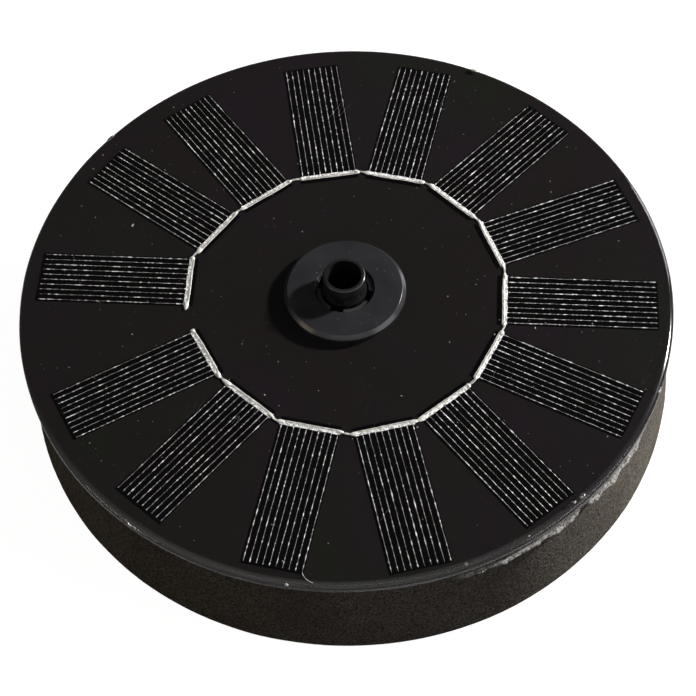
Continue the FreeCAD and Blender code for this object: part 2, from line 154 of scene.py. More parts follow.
class FloatSettings(bpy.types.PropertyGroup):
    """Sizes and colours of the foam float."""
    edge_round: length_setting("Edge rounding", "Radius of the foam's cut edges", 0.7 * MM)
    roughness_depth: length_setting("Edge roughness", "Depth of the torn cells at the top edge", 0.16 * MM)
    wave_depth: length_setting("Waves", "Depth of the slow waves in the side", 0.15 * MM)
    lip_reach: length_setting("Lip reach", "How far the torn edge stands out at the front right", 1.25 * MM)
    # Painted highlight: the lip's torn cells are made lighter where the lights fall at the front right.
    lip_highlight_colour: colour_setting("Torn lip and painted highlight", "Fresh cells where the top edge tore", (0.40, 0.40, 0.39))
    cell_size: length_setting("Foam cell", "Width of one closed cell of the foam", 0.42 * MM)
    wall_colour: colour_setting("Cell walls", "Thin foam walls that catch the light", (0.200, 0.183, 0.158))
    pit_colour: colour_setting("Cell pits", "Open pits between the walls", (0.024, 0.019, 0.015))
    tape_colour: colour_setting("Tape", "Film that glues the float to the board", (0.012, 0.011, 0.010))


class OutletSettings(bpy.types.PropertyGroup):
    """Sizes and colours of the collar, the tongues and the moulded pump."""
    collar_bevel: length_setting("Collar bevel", "Width of the bevel round the collar", 0.9 * MM)
    collar_bore: length_setting("Collar bore", "Radius of the hole that the tongues stand in", 6.95 * MM)
    ledge_height: length_setting("Ledge height", "Height of the ledge in the collar's bore", 0.6 * MM)
    tongue_span: angle_setting("Tongue span", "Angle that one tongue takes up", 60)
    edge_softness: length_setting("Edge softness", "Rounding of a moulding's sharp edges", 0.15 * MM)
    collar_colour: colour_setting("Collar", "Dark grey plastic", (0.0208, 0.0210, 0.0240))
    pump_colour: colour_setting("Pump", "Black plastic", (0.0115, 0.0115, 0.0125))


class StageSettings(bpy.types.PropertyGroup):
    """The floor, the lights and the camera."""
    floor_size: length_setting("Floor size", "Radius of the floor", 6.0)
    floor_colour: colour_setting("Floor", "Matt pale paper", (0.26, 0.26, 0.26))
    lens: FloatProperty(name="Lens", description="Focal length", default=92.76, subtype="DISTANCE_CAMERA")
    distance: length_setting("Distance", "From the camera to the point that it looks at", 422.25 * MM)
    elevation: angle_setting("Elevation", "Camera's angle above the floor", 56.63)
    roll: angle_setting("Roll", "Camera's turn about its own axis", -2.88)
    key_azimuth: angle_setting("Key azimuth", "Direction of the main light, from +X", 23)
    key_elevation: angle_setting("Key elevation", "Main light's angle above the floor", 28)
    key_power: FloatProperty(name="Key power", description="Power of the main light", default=27.0,
                             subtype="POWER", unit="POWER")


# ---- Shapes ------------------------------------------------------------------
def heading(angle):
    """Plan directions (cos, sin) of angles."""
    return np.stack([np.cos(angle), np.sin(angle)], axis=-1)


def line(start, end, count):
    """Evenly spaced points from start up to, and without, end."""
    share = np.arange(count)[:, None] / count
    return np.asarray(start) * (1 - share) + np.asarray(end) * share


def arc(centre, radius, first, last, count):
    """Points on a circle, centre + radius * (cos, sin), from one angle up to, and without, another."""
    turn = np.radians(first + (last - first) * np.arange(count) / count)
    return np.asarray(centre) + radius * heading(turn)


def bend_through(points, share):
    """The quadratic blend of three points, (1 - t)^2 a + 2 t (1 - t) b + t^2 c, t being the share."""
    start, middle, end = points
    return (1 - share) ** 2 * start + 2 * share * (1 - share) * middle + share ** 2 * end


def rounded(corners, radius, steps=5):
    """A closed outline with every corner rounded.

    Each corner gives way to an arc: its ends lie radius / tan(half the corner's angle) along
    the two sides, its centre on the corner's bisector, and its points are slerped between.
    """
    corners = np.asarray(corners, float)
    radius = np.broadcast_to(radius, len(corners))[:, None]
    before = np.roll(corners, 1, axis=0) - corners
    after = np.roll(corners, -1, axis=0) - corners
    before /= np.linalg.norm(before, axis=1, keepdims=True)
    after /= np.linalg.norm(after, axis=1, keepdims=True)
    half = np.arccos(np.clip((before * after).sum(axis=1, keepdims=True), -1, 1)) / 2
    bisector = before + after
    bisector /= np.linalg.norm(bisector, axis=1, keepdims=True)
    centre = corners + bisector * radius / np.sin(half)
    start = (corners + before * radius / np.tan(half) - centre) / radius
    end = (corners + after * radius / np.tan(half) - centre) / radius
    sweep_angle = (math.pi - 2 * half)[:, None]
    share = np.linspace(0, 1, steps)[None, :, None]
    weights = np.sin((1 - share) * sweep_angle), np.sin(share * sweep_angle)
    turned = (weights[0] * start[:, None] + weights[1] * end[:, None]) / np.sin(sweep_angle)
    return (centre[:, None] + radius[:, None] * turned).reshape(-1, 2)


def eased(share):
    """From 0 to 1 with level ends: 3 t^2 - 2 t^3."""
    return share ** 2 * (3 - 2 * share)


def smooth_noise(u, v, seed, wrap=None):
    """Random numbers from -1 to 1 at whole (u, v), eased between them; u repeats after wrap."""
    size = 1024
    table = np.random.default_rng(seed).uniform(-1, 1, (size, size))
    wrap = wrap or size
    u, v = np.broadcast_arrays(u, v)
    column, row = np.floor(u).astype(int), np.floor(v).astype(int)
    ease_u, ease_v = eased(u - column), eased(v - row)
    left, right = column % wrap, (column + 1) % wrap
    low, high = row % size, (row + 1) % size
    bottom = table[left, low] * (1 - ease_u) + table[right, low] * ease_u
    top = table[left, high] * (1 - ease_u) + table[right, high] * ease_u
    return bottom * (1 - ease_v) + top * ease_v


def grid_faces(rows, columns, close_rows=False, close_columns=False):
    """Four-sided faces over a grid of points stored row by row."""
    row = np.arange(rows if close_rows else rows - 1)[:, None]
    column = np.arange(columns if close_columns else columns - 1)[None, :]
    next_row, next_column = (row + 1) % rows, (column + 1) % columns
    faces = [row * columns + column, row * columns + next_column,
             next_row * columns + next_column, next_row * columns + column]
    return np.stack(np.broadcast_arrays(*faces), axis=-1).reshape(-1, 4)


def tube_faces(strips, stations, sides):
    """Faces of closed tubes stored one after another: their walls, then a face over each end."""
    start = np.arange(strips)[:, None] * stations * sides
    walls = (grid_faces(stations, sides, close_columns=True)[None] + start[:, :, None]).reshape(-1, 4)
    ring = np.arange(sides)
    ends = np.concatenate([start + ring, start + (stations - 1) * sides + ring[::-1]])
    return [walls, ends]


def lathe(outline, turns, centre=(0.0, 0.0), shift=None):
    """A closed outline of (radius, height) carried round an upright axis.

    point(turn, i) = centre + (radius_i * cos, radius_i * sin), height_i. shift, if given, takes the
    grids of angle, radius and height and returns what to add to the radius and to the height.
    """
    angle = np.arange(turns)[:, None] * FULL_TURN / turns
    radius = np.broadcast_to(outline[:, 0], (turns, len(outline)))
    height = np.broadcast_to(outline[:, 1], (turns, len(outline)))
    if shift is not None:
        more_radius, more_height = shift(angle, radius, height)
        radius, height = radius + more_radius, height + more_height
    points = np.stack([centre[0] + radius * np.cos(angle), centre[1] + radius * np.sin(angle), height], -1)
    return points.reshape(-1, 3), [grid_faces(turns, len(outline), True, True)]


# Sections of a flat strip, in shares of its width and height; the second has a hollow middle line.
BAR = np.array([(-0.5, 0.0), (0.5, 0.0), (0.5, 0.55), (0.36, 1.0), (-0.36, 1.0), (-0.5, 0.55)])
HOLLOW_BAR = np.insert(BAR, 4, (0.0, 0.85), axis=0)


def sweep(paths, across, section, width, height, up=(0.0, 0.0, 1.0)):
    """Closed strips along paths, as many as there are paths.

    point = path + across * width * a + up * height * b for each (a, b) of the section. paths and
    across are (strips, stations, 3), width and height are (strips, stations).
    """
    sideways = (width[..., None] * section[:, 0])[..., None] * across[:, :, None]
    upwards = (height[..., None] * section[:, 1])[..., None] * np.asarray(up)
    points = paths[:, :, None] + sideways + upwards
    return points.reshape(-1, 3), tube_faces(*points.shape[:3])


def flat(points_2d, height):
    """Plan points lifted to a height."""
    return np.concatenate([points_2d, np.broadcast_to(height, points_2d.shape[:-1])[..., None]], axis=-1)


def strip_along(points_2d, height, width, thickness, section=BAR):
    """Flat strips that follow plan routes: across is square to the route's own direction."""
    along = np.gradient(points_2d, axis=1)
    along /= np.linalg.norm(along, axis=-1, keepdims=True)
    return sweep(flat(points_2d, height), flat(right_of(along), 0.0), section, width, thickness)


def mounds(centres, along, size, height, seed, sides=16, rings=5, raggedness=0.2):
    """Low domes: (length * cos, width * sin) * reach(ring) in plan, height * rise(ring) upwards.

    centres is (count, 3), along the plan direction of the length, size (count, 2) half length and
    half width. The outline is made ragged by seeded noise round each dome.
    """
    count = len(centres)
    angle = np.arange(sides)[None, None, :] * FULL_TURN / sides
    lift = np.linspace(0, 0.46 * math.pi, rings)[None, :, None]
    noise = smooth_noise(angle * 6 / FULL_TURN, np.arange(count)[:, None, None] * 1.0, seed, wrap=6)
    reach = np.cos(lift) * (1 + raggedness * noise)
    length = reach * np.cos(angle) * size[:, 0, None, None]
    breadth = reach * np.sin(angle) * size[:, 1, None, None]
    across = right_of(along)
    plan = (centres[:, None, None, :2] + length[..., None] * along[:, None, None]
            + breadth[..., None] * across[:, None, None])
    rise = np.broadcast_to(centres[:, 2, None, None] + np.sin(lift) * height[:, None, None], length.shape)
    points = np.concatenate([plan, rise[..., None]], axis=-1)
    return points.reshape(-1, 3), tube_faces(count, rings, sides)


def thread(points, radius, seed=0, stations=28, sides=8):
    """A round thread that bends through three points: their quadratic blend swept by a circle."""
    share = np.linspace(0, 1, stations)[:, None]
    path = bend_through(points, share)
    section = heading(np.arange(sides) * FULL_TURN / sides)
    thickness = radius * (1 + 0.25 * smooth_noise(share[:, 0] * 9, 0.5, seed))
    thickness[[0, -1]] *= 0.5
    along = np.gradient(path, axis=0)
    across = flat(right_of(along), 0.0)
    across /= np.linalg.norm(across, axis=-1, keepdims=True)
    return sweep(path[None], across[None], section, thickness[None], thickness[None])


def joined(shapes):
    """Several shapes as one: their points in a row, and their faces counted on."""
    points, faces, count = [], [], 0
    for some_points, some_faces in shapes:
        points.append(some_points)
        faces += [group + count for group in some_faces]
        count += len(some_points)
    return np.concatenate(points), faces


def signed_volume(points, faces):
    """Volume inside the faces, by fans of tetrahedra; below zero if they point inwards."""
    total = 0.0
    for group in faces:
        first = points[group[:, 0]]
        for i in range(1, group.shape[1] - 1):
            total += np.einsum("ij,ij->", first, np.cross(points[group[:, i]], points[group[:, i + 1]]))
    return total / 6


def new_object(name, data):
    """An object in the scene, for a mesh, a light or a camera."""
    made = bpy.data.objects.new(name, data)
    bpy.context.scene.collection.objects.link(made)
    return made


def make_piece(name, shape, material, body, replaces=(), crease=50.0):
    """A mesh object from points and faces, turned outwards, with its finish and body; the CAD parts that it
    replaces are hidden.
    """
    points, faces = shape
    if signed_volume(points, faces) < 0:
        faces = [group[:, ::-1] for group in faces]
    mesh = bpy.data.meshes.new(name)
    mesh.from_pydata(points.tolist(), [], [face for group in faces for face in group.tolist()])
    mesh.validate()
    mesh.shade_smooth()
    mesh.set_sharp_from_angle(angle=math.radians(crease))
    mesh.materials.append(material)
    piece = new_object(name, mesh)
    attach(piece, body)
    if replaces:
        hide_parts(*replaces)
    return piece


def moulded_copy(node, name, material, body, softness):
    """A welded copy of a CAD node with its sharp edges bevelled, as a mould leaves them."""
    mesh = NODES[node].data.copy()
    mesh.name = name
    mesh.materials.clear()
    mesh.materials.append(material)
    piece = new_object(name, mesh)
    weld = piece.modifiers.new("weld", "WELD")
    weld.merge_threshold = 0.002 * MM
    bevel = piece.modifiers.new("bevel", "BEVEL")
    bevel.width = softness
    bevel.segments = 2
    bevel.limit_method = "ANGLE"
    bevel.angle_limit = math.radians(40)
    bevel.harden_normals = True
    bevel.use_clamp_overlap = True
    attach(piece, body)
    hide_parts(node)
    return piece


# ---- Shader building blocks ----------------------------------------------------
def add_node(tree, kind, inputs=None, **settings):
    """A shader node with its settings; each input is linked to a socket or set to a value."""
    made = tree.nodes.new(kind)
    for name, value in settings.items():
        setattr(made, name, value)
    for key, value in (inputs or {}).items():
        if isinstance(value, bpy.types.NodeSocket):
            tree.links.new(value, made.inputs[key])
        else:
            made.inputs[key].default_value = value
    return made


def object_coordinates(tree):
    return add_node(tree, "ShaderNodeTexCoord").outputs["Object"]


def calc(tree, operation, first, second=0.0):
    return add_node(tree, "ShaderNodeMath", {0: first, 1: second}, operation=operation).outputs[0]


def between(tree, value, from_low, from_high, to_low=0.0, to_high=1.0):
    """The value's range stretched to another one, and held inside it."""
    made = add_node(tree, "ShaderNodeMapRange", {
        "Value": value, "From Min": from_low, "From Max": from_high, "To Min": to_low, "To Max": to_high})
    return made.outputs["Result"]


def mixed(tree, share, first, second, amount=1.0):
    """One colour over another, by the share times the amount; share 0 shows the first."""
    if amount != 1.0:
        share = calc(tree, "MULTIPLY", share, amount)
    made = add_node(tree, "ShaderNodeMix", data_type="RGBA")
    for key, value in ((0, share), (6, first), (7, second)):
        if isinstance(value, bpy.types.NodeSocket):
            tree.links.new(value, made.inputs[key])
        elif key == 0:
            made.inputs[key].default_value = value
        else:
            made.inputs[key].default_value = (*value[:3], 1.0)
    return made.outputs[2]


def noise(tree, coordinates, scale, detail=3.0, roughness=0.55, distortion=0.0):
    made = add_node(tree, "ShaderNodeTexNoise", {
        "Vector": coordinates, "Scale": scale, "Detail": detail, "Roughness": roughness,
        "Distortion": distortion})
    return made.outputs["Fac"]


def bump(tree, height, distance, strength):
    return add_node(tree, "ShaderNodeBump", {
        "Height": height, "Distance": distance, "Strength": strength}).outputs["Normal"]


def mixed_shader(tree, share, first, second):
    """One shader node over another; share 0 shows the first."""
    return add_node(tree, "ShaderNodeMixShader", {
        0: share, 1: first.outputs[0], 2: second.outputs[0]})


def new_group(name, inputs, outputs):
    """An empty node group with number inputs; returns the tree and its two end nodes."""
    tree = bpy.data.node_groups.new(name, "ShaderNodeTree")
    for label, default in inputs.items():
        socket = tree.interface.new_socket(name=label, in_out="INPUT", socket_type="NodeSocketFloat")
        socket.default_value = default
    for label in outputs:
        tree.interface.new_socket(name=label, in_out="OUTPUT", socket_type="NodeSocketFloat")
    return tree, tree.nodes.new("NodeGroupInput"), tree.nodes.new("NodeGroupOutput")


def scaled(tree, coordinates, scale, stretch=(1.0, 1.0, 1.0), turn=0.0):
    """Coordinates turned about Z and stretched, then multiplied by a scale."""
    mapped = add_node(tree, "ShaderNodeMapping", {
        "Vector": coordinates, "Rotation": (0.0, 0.0, turn), "Scale": stretch})
    made = add_node(tree, "ShaderNodeVectorMath", {0: mapped.outputs["Vector"], "Scale": scale},
                    operation="SCALE")
    return made.outputs[0]


def moulded_grain_group():
    """Fine spark-eroded grain of a mould, and slow differences in tone."""
    tree, given, result = new_group("Moulded grain", {"Scale": 2500.0}, ["Height", "Tone"])
    place = object_coordinates(tree)
    fine = noise(tree, scaled(tree, place, given.outputs["Scale"]), 1.0, 3.0, 0.6)
    slow = noise(tree, scaled(tree, place, given.outputs["Scale"]), 0.05, 2.0, 0.5, 0.4)
    tree.links.new(fine, result.inputs["Height"])
    tree.links.new(slow, result.inputs["Tone"])
    return tree


def dust_group():
    """Small light specks, each in its own Voronoi cell, thicker where the surface looks up."""
    tree, given, result = new_group("Dust specks", {"Scale": 900.0, "Density": 0.08, "Size": 0.16}, ["Mask"])
    place = noise_shifted(tree, object_coordinates(tree), 0.0004)
    cell = add_node(tree, "ShaderNodeTexVoronoi", {
        "Vector": scaled(tree, place, given.outputs["Scale"]), "Scale": 1.0})
    edge = calc(tree, "SUBTRACT", given.outputs["Size"], cell.outputs["Distance"])
    speck = between(tree, edge, 0.0, 0.05)
    chosen = add_node(tree, "ShaderNodeSeparateColor", {"Color": cell.outputs["Color"]}).outputs["Red"]
    chosen = calc(tree, "LESS_THAN", chosen, given.outputs["Density"])
    upwards = add_node(tree, "ShaderNodeSeparateXYZ", {
        0: add_node(tree, "ShaderNodeNewGeometry").outputs["Normal"]}).outputs["Z"]
    lying = between(tree, upwards, -0.2, 0.8, 0.25, 1.0)
    mask = calc(tree, "MULTIPLY", calc(tree, "MULTIPLY", speck, chosen), lying)
    tree.links.new(mask, result.inputs["Mask"])
    return tree


def noise_shifted(tree, coordinates, distance):
    """Coordinates pushed about by a coarse noise, so that round spots turn ragged."""
    made = add_node(tree, "ShaderNodeTexNoise", {"Vector": coordinates, "Scale": 3000.0, "Detail": 1.0})
    push = add_node(tree, "ShaderNodeVectorMath", {
        0: made.outputs["Color"], 1: (distance,) * 3, 2: coordinates}, operation="MULTIPLY_ADD")
    return push.outputs[0]


def scratches_group():
    """Hair-fine straight marks in patches: where a stretched noise crosses its middle value."""
    tree, given, result = new_group("Fine scratches", {"Scale": 60.0, "Turn": 0.4, "Amount": 0.5}, ["Mask"])
    place = object_coordinates(tree)
    turned = add_node(tree, "ShaderNodeVectorRotate", {
        "Vector": place, "Angle": given.outputs["Turn"]}, rotation_type="Z_AXIS").outputs[0]
    drawn = noise(tree, scaled(tree, turned, given.outputs["Scale"], (8.0, 0.5, 1.0)), 1.0, 1.0, 0.4)
    distance = calc(tree, "ABSOLUTE", calc(tree, "SUBTRACT", drawn, 0.5))
    hair = between(tree, distance, 0.010, 0.0)
    patch = between(tree, noise(tree, place, 55.0, 2.0), 0.52, 0.68)
    mask = calc(tree, "MULTIPLY", calc(tree, "MULTIPLY", hair, patch), given.outputs["Amount"])
    tree.links.new(mask, result.inputs["Mask"])
    return tree


def smears_group():
    """Soft patches that a wiped hand or dried water leaves."""
    tree, given, result = new_group("Smears", {"Scale": 35.0}, ["Mask"])
    place = scaled(tree, object_coordinates(tree), given.outputs["Scale"], (1.0, 0.45, 1.0), 0.5)
    wide = noise(tree, place, 1.0, 4.0, 0.62, 0.8)
    tree.links.new(between(tree, wide, 0.42, 0.72), result.inputs["Mask"])
    return tree


def worn_metal_group():
    """Mottled tone of fired or soldered metal: blotches broken by fine pits."""
    tree, given, result = new_group("Mottled metal", {"Scale": 1500.0}, ["Tone", "Height"])
    place = scaled(tree, object_coordinates(tree), given.outputs["Scale"])
    blotch = noise(tree, place, 1.0, 3.0, 0.6, 0.5)
    pits = noise(tree, place, 4.0, 2.0, 0.7)
    tree.links.new(between(tree, blotch, 0.33, 0.66), result.inputs["Tone"])
    tree.links.new(calc(tree, "ADD", calc(tree, "MULTIPLY", pits, 0.4), blotch), result.inputs["Height"])
    return tree


GROUP_MAKERS = {
    "Moulded grain": moulded_grain_group,
    "Dust specks": dust_group,
    "Fine scratches": scratches_group,
    "Smears": smears_group,
    "Mottled metal": worn_metal_group,
}


def effect(tree, name, **values):
    """A shared effect placed in a material with its own values; it is built the first time."""
    group = bpy.data.node_groups.get(name) or GROUP_MAKERS[name]()
    made = add_node(tree, "ShaderNodeGroup", node_tree=group)
    for label, value in values.items():
        made.inputs[label].default_value = value
    return made.outputs


# ---- Finishes ------------------------------------------------------------------
def new_finish(name, **settings):
    """A material with one Principled shader; settings name its sockets, words joined by _."""
    material = bpy.data.materials.new(name)
    material.use_nodes = True
    shader = material.node_tree.nodes["Principled BSDF"]
    for label, value in settings.items():
        socket = shader.inputs[label.replace("_", " ")]
        socket.default_value = (*value, 1.0) if isinstance(value, tuple) else value
    return material, material.node_tree, shader


def feed(tree, shader, **links):
    for label, socket in links.items():
        tree.links.new(socket, shader.inputs[label.replace("_", " ")])


def tinted(colour, factor):
    """A colour times one factor, or times three, and no lighter than white."""
    return tuple(np.minimum(np.multiply(tuple(colour), factor), 1.0).tolist())


def moulding_finish(name, colour, roughness=0.42, grain=2600.0, depth=0.012 * MM, dusty=0.05):
    """Satin moulded plastic: fine grain, slow tone, smears and a few specks of dust."""
    material, tree, shader = new_finish(name)
    grain_out = effect(tree, "Moulded grain", Scale=grain)
    smears = effect(tree, "Smears", Scale=60.0)["Mask"]
    specks = effect(tree, "Dust specks", Scale=1100.0, Density=dusty, Size=0.14)["Mask"]
    tone = mixed(tree, between(tree, grain_out["Tone"], 0.3, 0.7), tinted(colour, 0.85), tinted(colour, 1.15))
    tone = mixed(tree, smears, tone, tinted(colour, 1.7), 0.25)
    tone = mixed(tree, specks, tone, (0.35, 0.34, 0.32), 0.7)
    rough = between(tree, smears, 0.0, 1.0, roughness - 0.05, roughness + 0.1)
    feed(tree, shader, Base_Color=tone, Roughness=rough, Normal=bump(tree, grain_out["Height"], depth, 0.5))
    return material


def board_finish(settings):
    """Black solder mask, seen through the resin, with faint warm, violet and green clouds."""
    material, tree, shader = new_finish("Board mask", Roughness=0.6, Specular_IOR_Level=0.0)
    place = object_coordinates(tree)
    colour = settings.board_colour
    clouds = between(tree, noise(tree, place, 22.0, 3.0, 0.6, 1.2), 0.4, 0.62)
    other = between(tree, noise(tree, scaled(tree, place, 1.0, (1.0, 0.5, 1.0), 0.3), 31.0, 3.0), 0.45, 0.66)
    tone = mixed(tree, clouds, colour, tinted(colour, (1.10, 0.98, 1.28)))
    tone = mixed(tree, other, tone, tinted(colour, (0.9, 1.2, 0.95)), 0.7)
    scuffs = effect(tree, "Fine scratches", Scale=70.0, Turn=0.15, Amount=0.22)["Mask"]
    tone = mixed(tree, scuffs, tone, (0.03, 0.03, 0.032))
    weave = effect(tree, "Moulded grain", Scale=1500.0)
    feed(tree, shader, Base_Color=tone, Normal=bump(tree, weave["Height"], 0.01 * MM, 0.4))
    return material


def silicon_finish(settings):
    """Textured silicon: almost black, a little bluer in places, with faint crystal tone."""
    material, tree, shader = new_finish("Silicon", Roughness=0.5, Specular_IOR_Level=0.0)
    colour = settings.cell_colour
    place = object_coordinates(tree)
    clouds = between(tree, noise(tree, place, 60.0, 2.0), 0.4, 0.65)
    tone = mixed(tree, clouds, colour, tinted(colour, (0.8, 0.95, 1.35)))
    etched = effect(tree, "Moulded grain", Scale=5200.0)
    specks = effect(tree, "Dust specks", Scale=1300.0, Density=0.03, Size=0.12)["Mask"]
    tone = mixed(tree, specks, tone, (0.2, 0.2, 0.2), 0.35)
    feed(tree, shader, Base_Color=tone, Normal=bump(tree, etched["Height"], 0.008 * MM, 0.6))
    return material


def silver_finish(settings):
    """Fired silver paste: matt, mottled grey to white."""
    material, tree, shader = new_finish("Silver print", Metallic=0.15, Roughness=0.55)
    colour = settings.silver_colour
    metal = effect(tree, "Mottled metal", Scale=2600.0)
    tone = mixed(tree, between(tree, metal["Tone"], 0.3, 0.7), tinted(colour, 0.36), tinted(colour, 1.25))
    feed(tree, shader, Base_Color=tone, Normal=bump(tree, metal["Height"], 0.01 * MM, 0.5))
    return material


def tin_finish(settings):
    """Tinned copper and solder: bright, with flux-stained patches and a rippled skin.

    A ribbon's "middle" attribute, 1 along its middle line, makes that line darker and browner in patches.
    """
    material, tree, shader = new_finish("Tin", Metallic=0.25)
    colour = settings.tin_colour
    metal = effect(tree, "Mottled metal", Scale=1300.0)
    stain = between(tree, noise(tree, object_coordinates(tree), 260.0, 3.0, 0.6), 0.58, 0.7)
    tone = mixed(tree, metal["Tone"], tinted(colour, 0.72), colour)
    tone = mixed(tree, stain, tone, (0.42, 0.38, 0.30), 0.6)
    middle = add_node(tree, "ShaderNodeAttribute", attribute_name="middle").outputs["Fac"]
    patchy = between(tree, noise(tree, object_coordinates(tree), 800.0, 3.0, 0.6), 0.36, 0.56)
    darker_middle = calc(tree, "MULTIPLY", between(tree, middle, 0.15, 0.6), patchy)
    tone = mixed(tree, darker_middle, tone, (0.15, 0.145, 0.12), 0.9)
    rough = between(tree, metal["Tone"], 0.0, 1.0, 0.5, 0.28)
    feed(tree, shader, Base_Color=tone, Roughness=rough, Normal=bump(tree, metal["Height"], 0.03 * MM, 0.7))
    return material


def resin_finish():
    """Clear cast resin: glass with a slow orange peel, smears and hair scratches.

    Shadow rays and diffuse rays pass straight through, so that the light reaches what lies in it.
    """
    material, tree, shader = new_finish("Clear resin", IOR=1.5, Metallic=0.0, Transmission_Weight=1.0,
                                        Base_Color=(1.0, 1.0, 1.0))
    place = object_coordinates(tree)
    smears = effect(tree, "Smears", Scale=28.0)["Mask"]
    scratches = effect(tree, "Fine scratches", Scale=48.0, Turn=0.5, Amount=0.8)["Mask"]
    crossed = effect(tree, "Fine scratches", Scale=64.0, Turn=-0.35, Amount=0.5)["Mask"]
    marks = calc(tree, "MAXIMUM", scratches, crossed)
    rough = calc(tree, "ADD", between(tree, smears, 0.0, 1.0, 0.05, 0.16), calc(tree, "MULTIPLY", marks, 0.3))
    peel = noise(tree, place, 90.0, 2.0, 0.4)
    feed(tree, shader, Roughness=rough, Normal=bump(tree, peel, 0.10 * MM, 0.3))
    clear = add_node(tree, "ShaderNodeBsdfTransparent")
    path = add_node(tree, "ShaderNodeLightPath").outputs
    passed = calc(tree, "MAXIMUM", path["Is Shadow Ray"], path["Is Diffuse Ray"])
    both = mixed_shader(tree, passed, shader, clear)
    tree.links.new(both.outputs[0], tree.nodes["Material Output"].inputs["Surface"])
    return material


def foam_finish(settings):
    """Closed-cell foam: light cell walls round dark pits, broader pressed patches, and a painted highlight on
    the torn lip at the lit front right.
    """
    material, tree, shader = new_finish("Foam", Roughness=0.9, Specular_IOR_Level=0.03)
    place = object_coordinates(tree)
    cell_scale = 1 / settings.cell_size
    cells = add_node(tree, "ShaderNodeTexVoronoi", {"Vector": place, "Scale": cell_scale},
                     feature="SMOOTH_F1").outputs["Distance"]
    grain = noise(tree, place, cell_scale * 0.6, 4.0, 0.7)
    wall = calc(tree, "ADD", calc(tree, "MULTIPLY", cells, 0.5), calc(tree, "MULTIPLY", grain, 0.6))
    wall = between(tree, wall, 0.34, 0.68)
    tone = mixed(tree, wall, settings.pit_colour, settings.wall_colour)
    slow = between(tree, noise(tree, place, 55.0, 3.0, 0.6), 0.35, 0.7)
    tone = mixed(tree, slow, tone, tinted(settings.pit_colour, 1.2), 0.35)
    # Painted highlight: the torn lip at the front right, where the key and side lights fall, is painted
    # lighter over its torn cells.
    torn = add_node(tree, "ShaderNodeAttribute", attribute_name="torn").outputs["Fac"]
    shreds = between(tree, noise(tree, place, 1500.0, 3.0, 0.7), 0.40, 0.56)
    lip = calc(tree, "MULTIPLY", between(tree, torn, 0.25, 0.6), shreds)
    tone = mixed(tree, lip, tone, settings.lip_highlight_colour)
    specks = effect(tree, "Dust specks", Scale=1500.0, Density=0.05, Size=0.16)["Mask"]
    tone = mixed(tree, specks, tone, (0.3, 0.29, 0.27), 0.6)
    feed(tree, shader, Base_Color=tone, Normal=bump(tree, wall, 0.09 * MM, 0.55))
    return material


def dust_finish():
    """Lint and dust: pale, matt, a little uneven."""
    material, tree, shader = new_finish("Dust", Roughness=0.9)
    tone = between(tree, noise(tree, object_coordinates(tree), 350.0, 2.0), 0.35, 0.65)
    feed(tree, shader, Base_Color=mixed(tree, tone, (0.20, 0.19, 0.18), (0.62, 0.60, 0.57)))
    return material


def glue_and_glint_finish():
    """Set glue: grey and wet-looking, with white patches that are painted glints."""
    material, tree, shader = new_finish("Set glue and painted glints", Roughness=0.16)
    # The pale end of this mix is painted glints on the lumps.
    tone = between(tree, noise(tree, object_coordinates(tree), 900.0, 3.0), 0.42, 0.60)
    feed(tree, shader, Base_Color=mixed(tree, tone, (0.05, 0.048, 0.045), (0.55, 0.54, 0.52)))
    return material


def rubber_finish(name, colour, roughness=0.7):
    """Rubber, film and sealant: matt, with a powdery bloom."""
    material, tree, shader = new_finish(name, Roughness=roughness)
    grain = effect(tree, "Moulded grain", Scale=3500.0)
    bloom = effect(tree, "Smears", Scale=120.0)["Mask"]
    tone = mixed(tree, bloom, colour, tinted(colour, 2.2), 0.5)
    feed(tree, shader, Base_Color=tone, Normal=bump(tree, grain["Height"], 0.02 * MM, 0.5))
    return material


def metal_finish(name, colour, roughness=0.35, scale=1200.0):
    """Bare metal inside the pump: mottled, lightly pitted."""
    material, tree, shader = new_finish(name, Metallic=1.0)
    metal = effect(tree, "Mottled metal", Scale=scale)
    tone = mixed(tree, metal["Tone"], tinted(colour, 0.75), tinted(colour, 1.1))
    rough = between(tree, metal["Tone"], 0.0, 1.0, roughness + 0.12, roughness - 0.05)
    feed(tree, shader, Base_Color=tone, Roughness=rough, Normal=bump(tree, metal["Height"], 0.02 * MM, 0.4))
    return material


def wound_finish(name, colour, pitch, axis):
    """Bands across one axis: enamelled turns of wire, or stacked sheets of iron."""
    material, tree, shader = new_finish(name, Metallic=1.0, Roughness=0.32)
    bands = add_node(tree, "ShaderNodeTexWave", {
        "Vector": object_coordinates(tree), "Scale": 1 / (pitch * 20), "Distortion": 0.6,
        "Detail Scale": 400.0}, bands_direction=axis, wave_profile="SIN").outputs["Fac"]
    tone = mixed(tree, between(tree, bands, 0.0, 0.5), tinted(colour, 0.35), colour)
    feed(tree, shader, Base_Color=tone, Normal=bump(tree, bands, 0.08 * MM, 0.8))
    return material


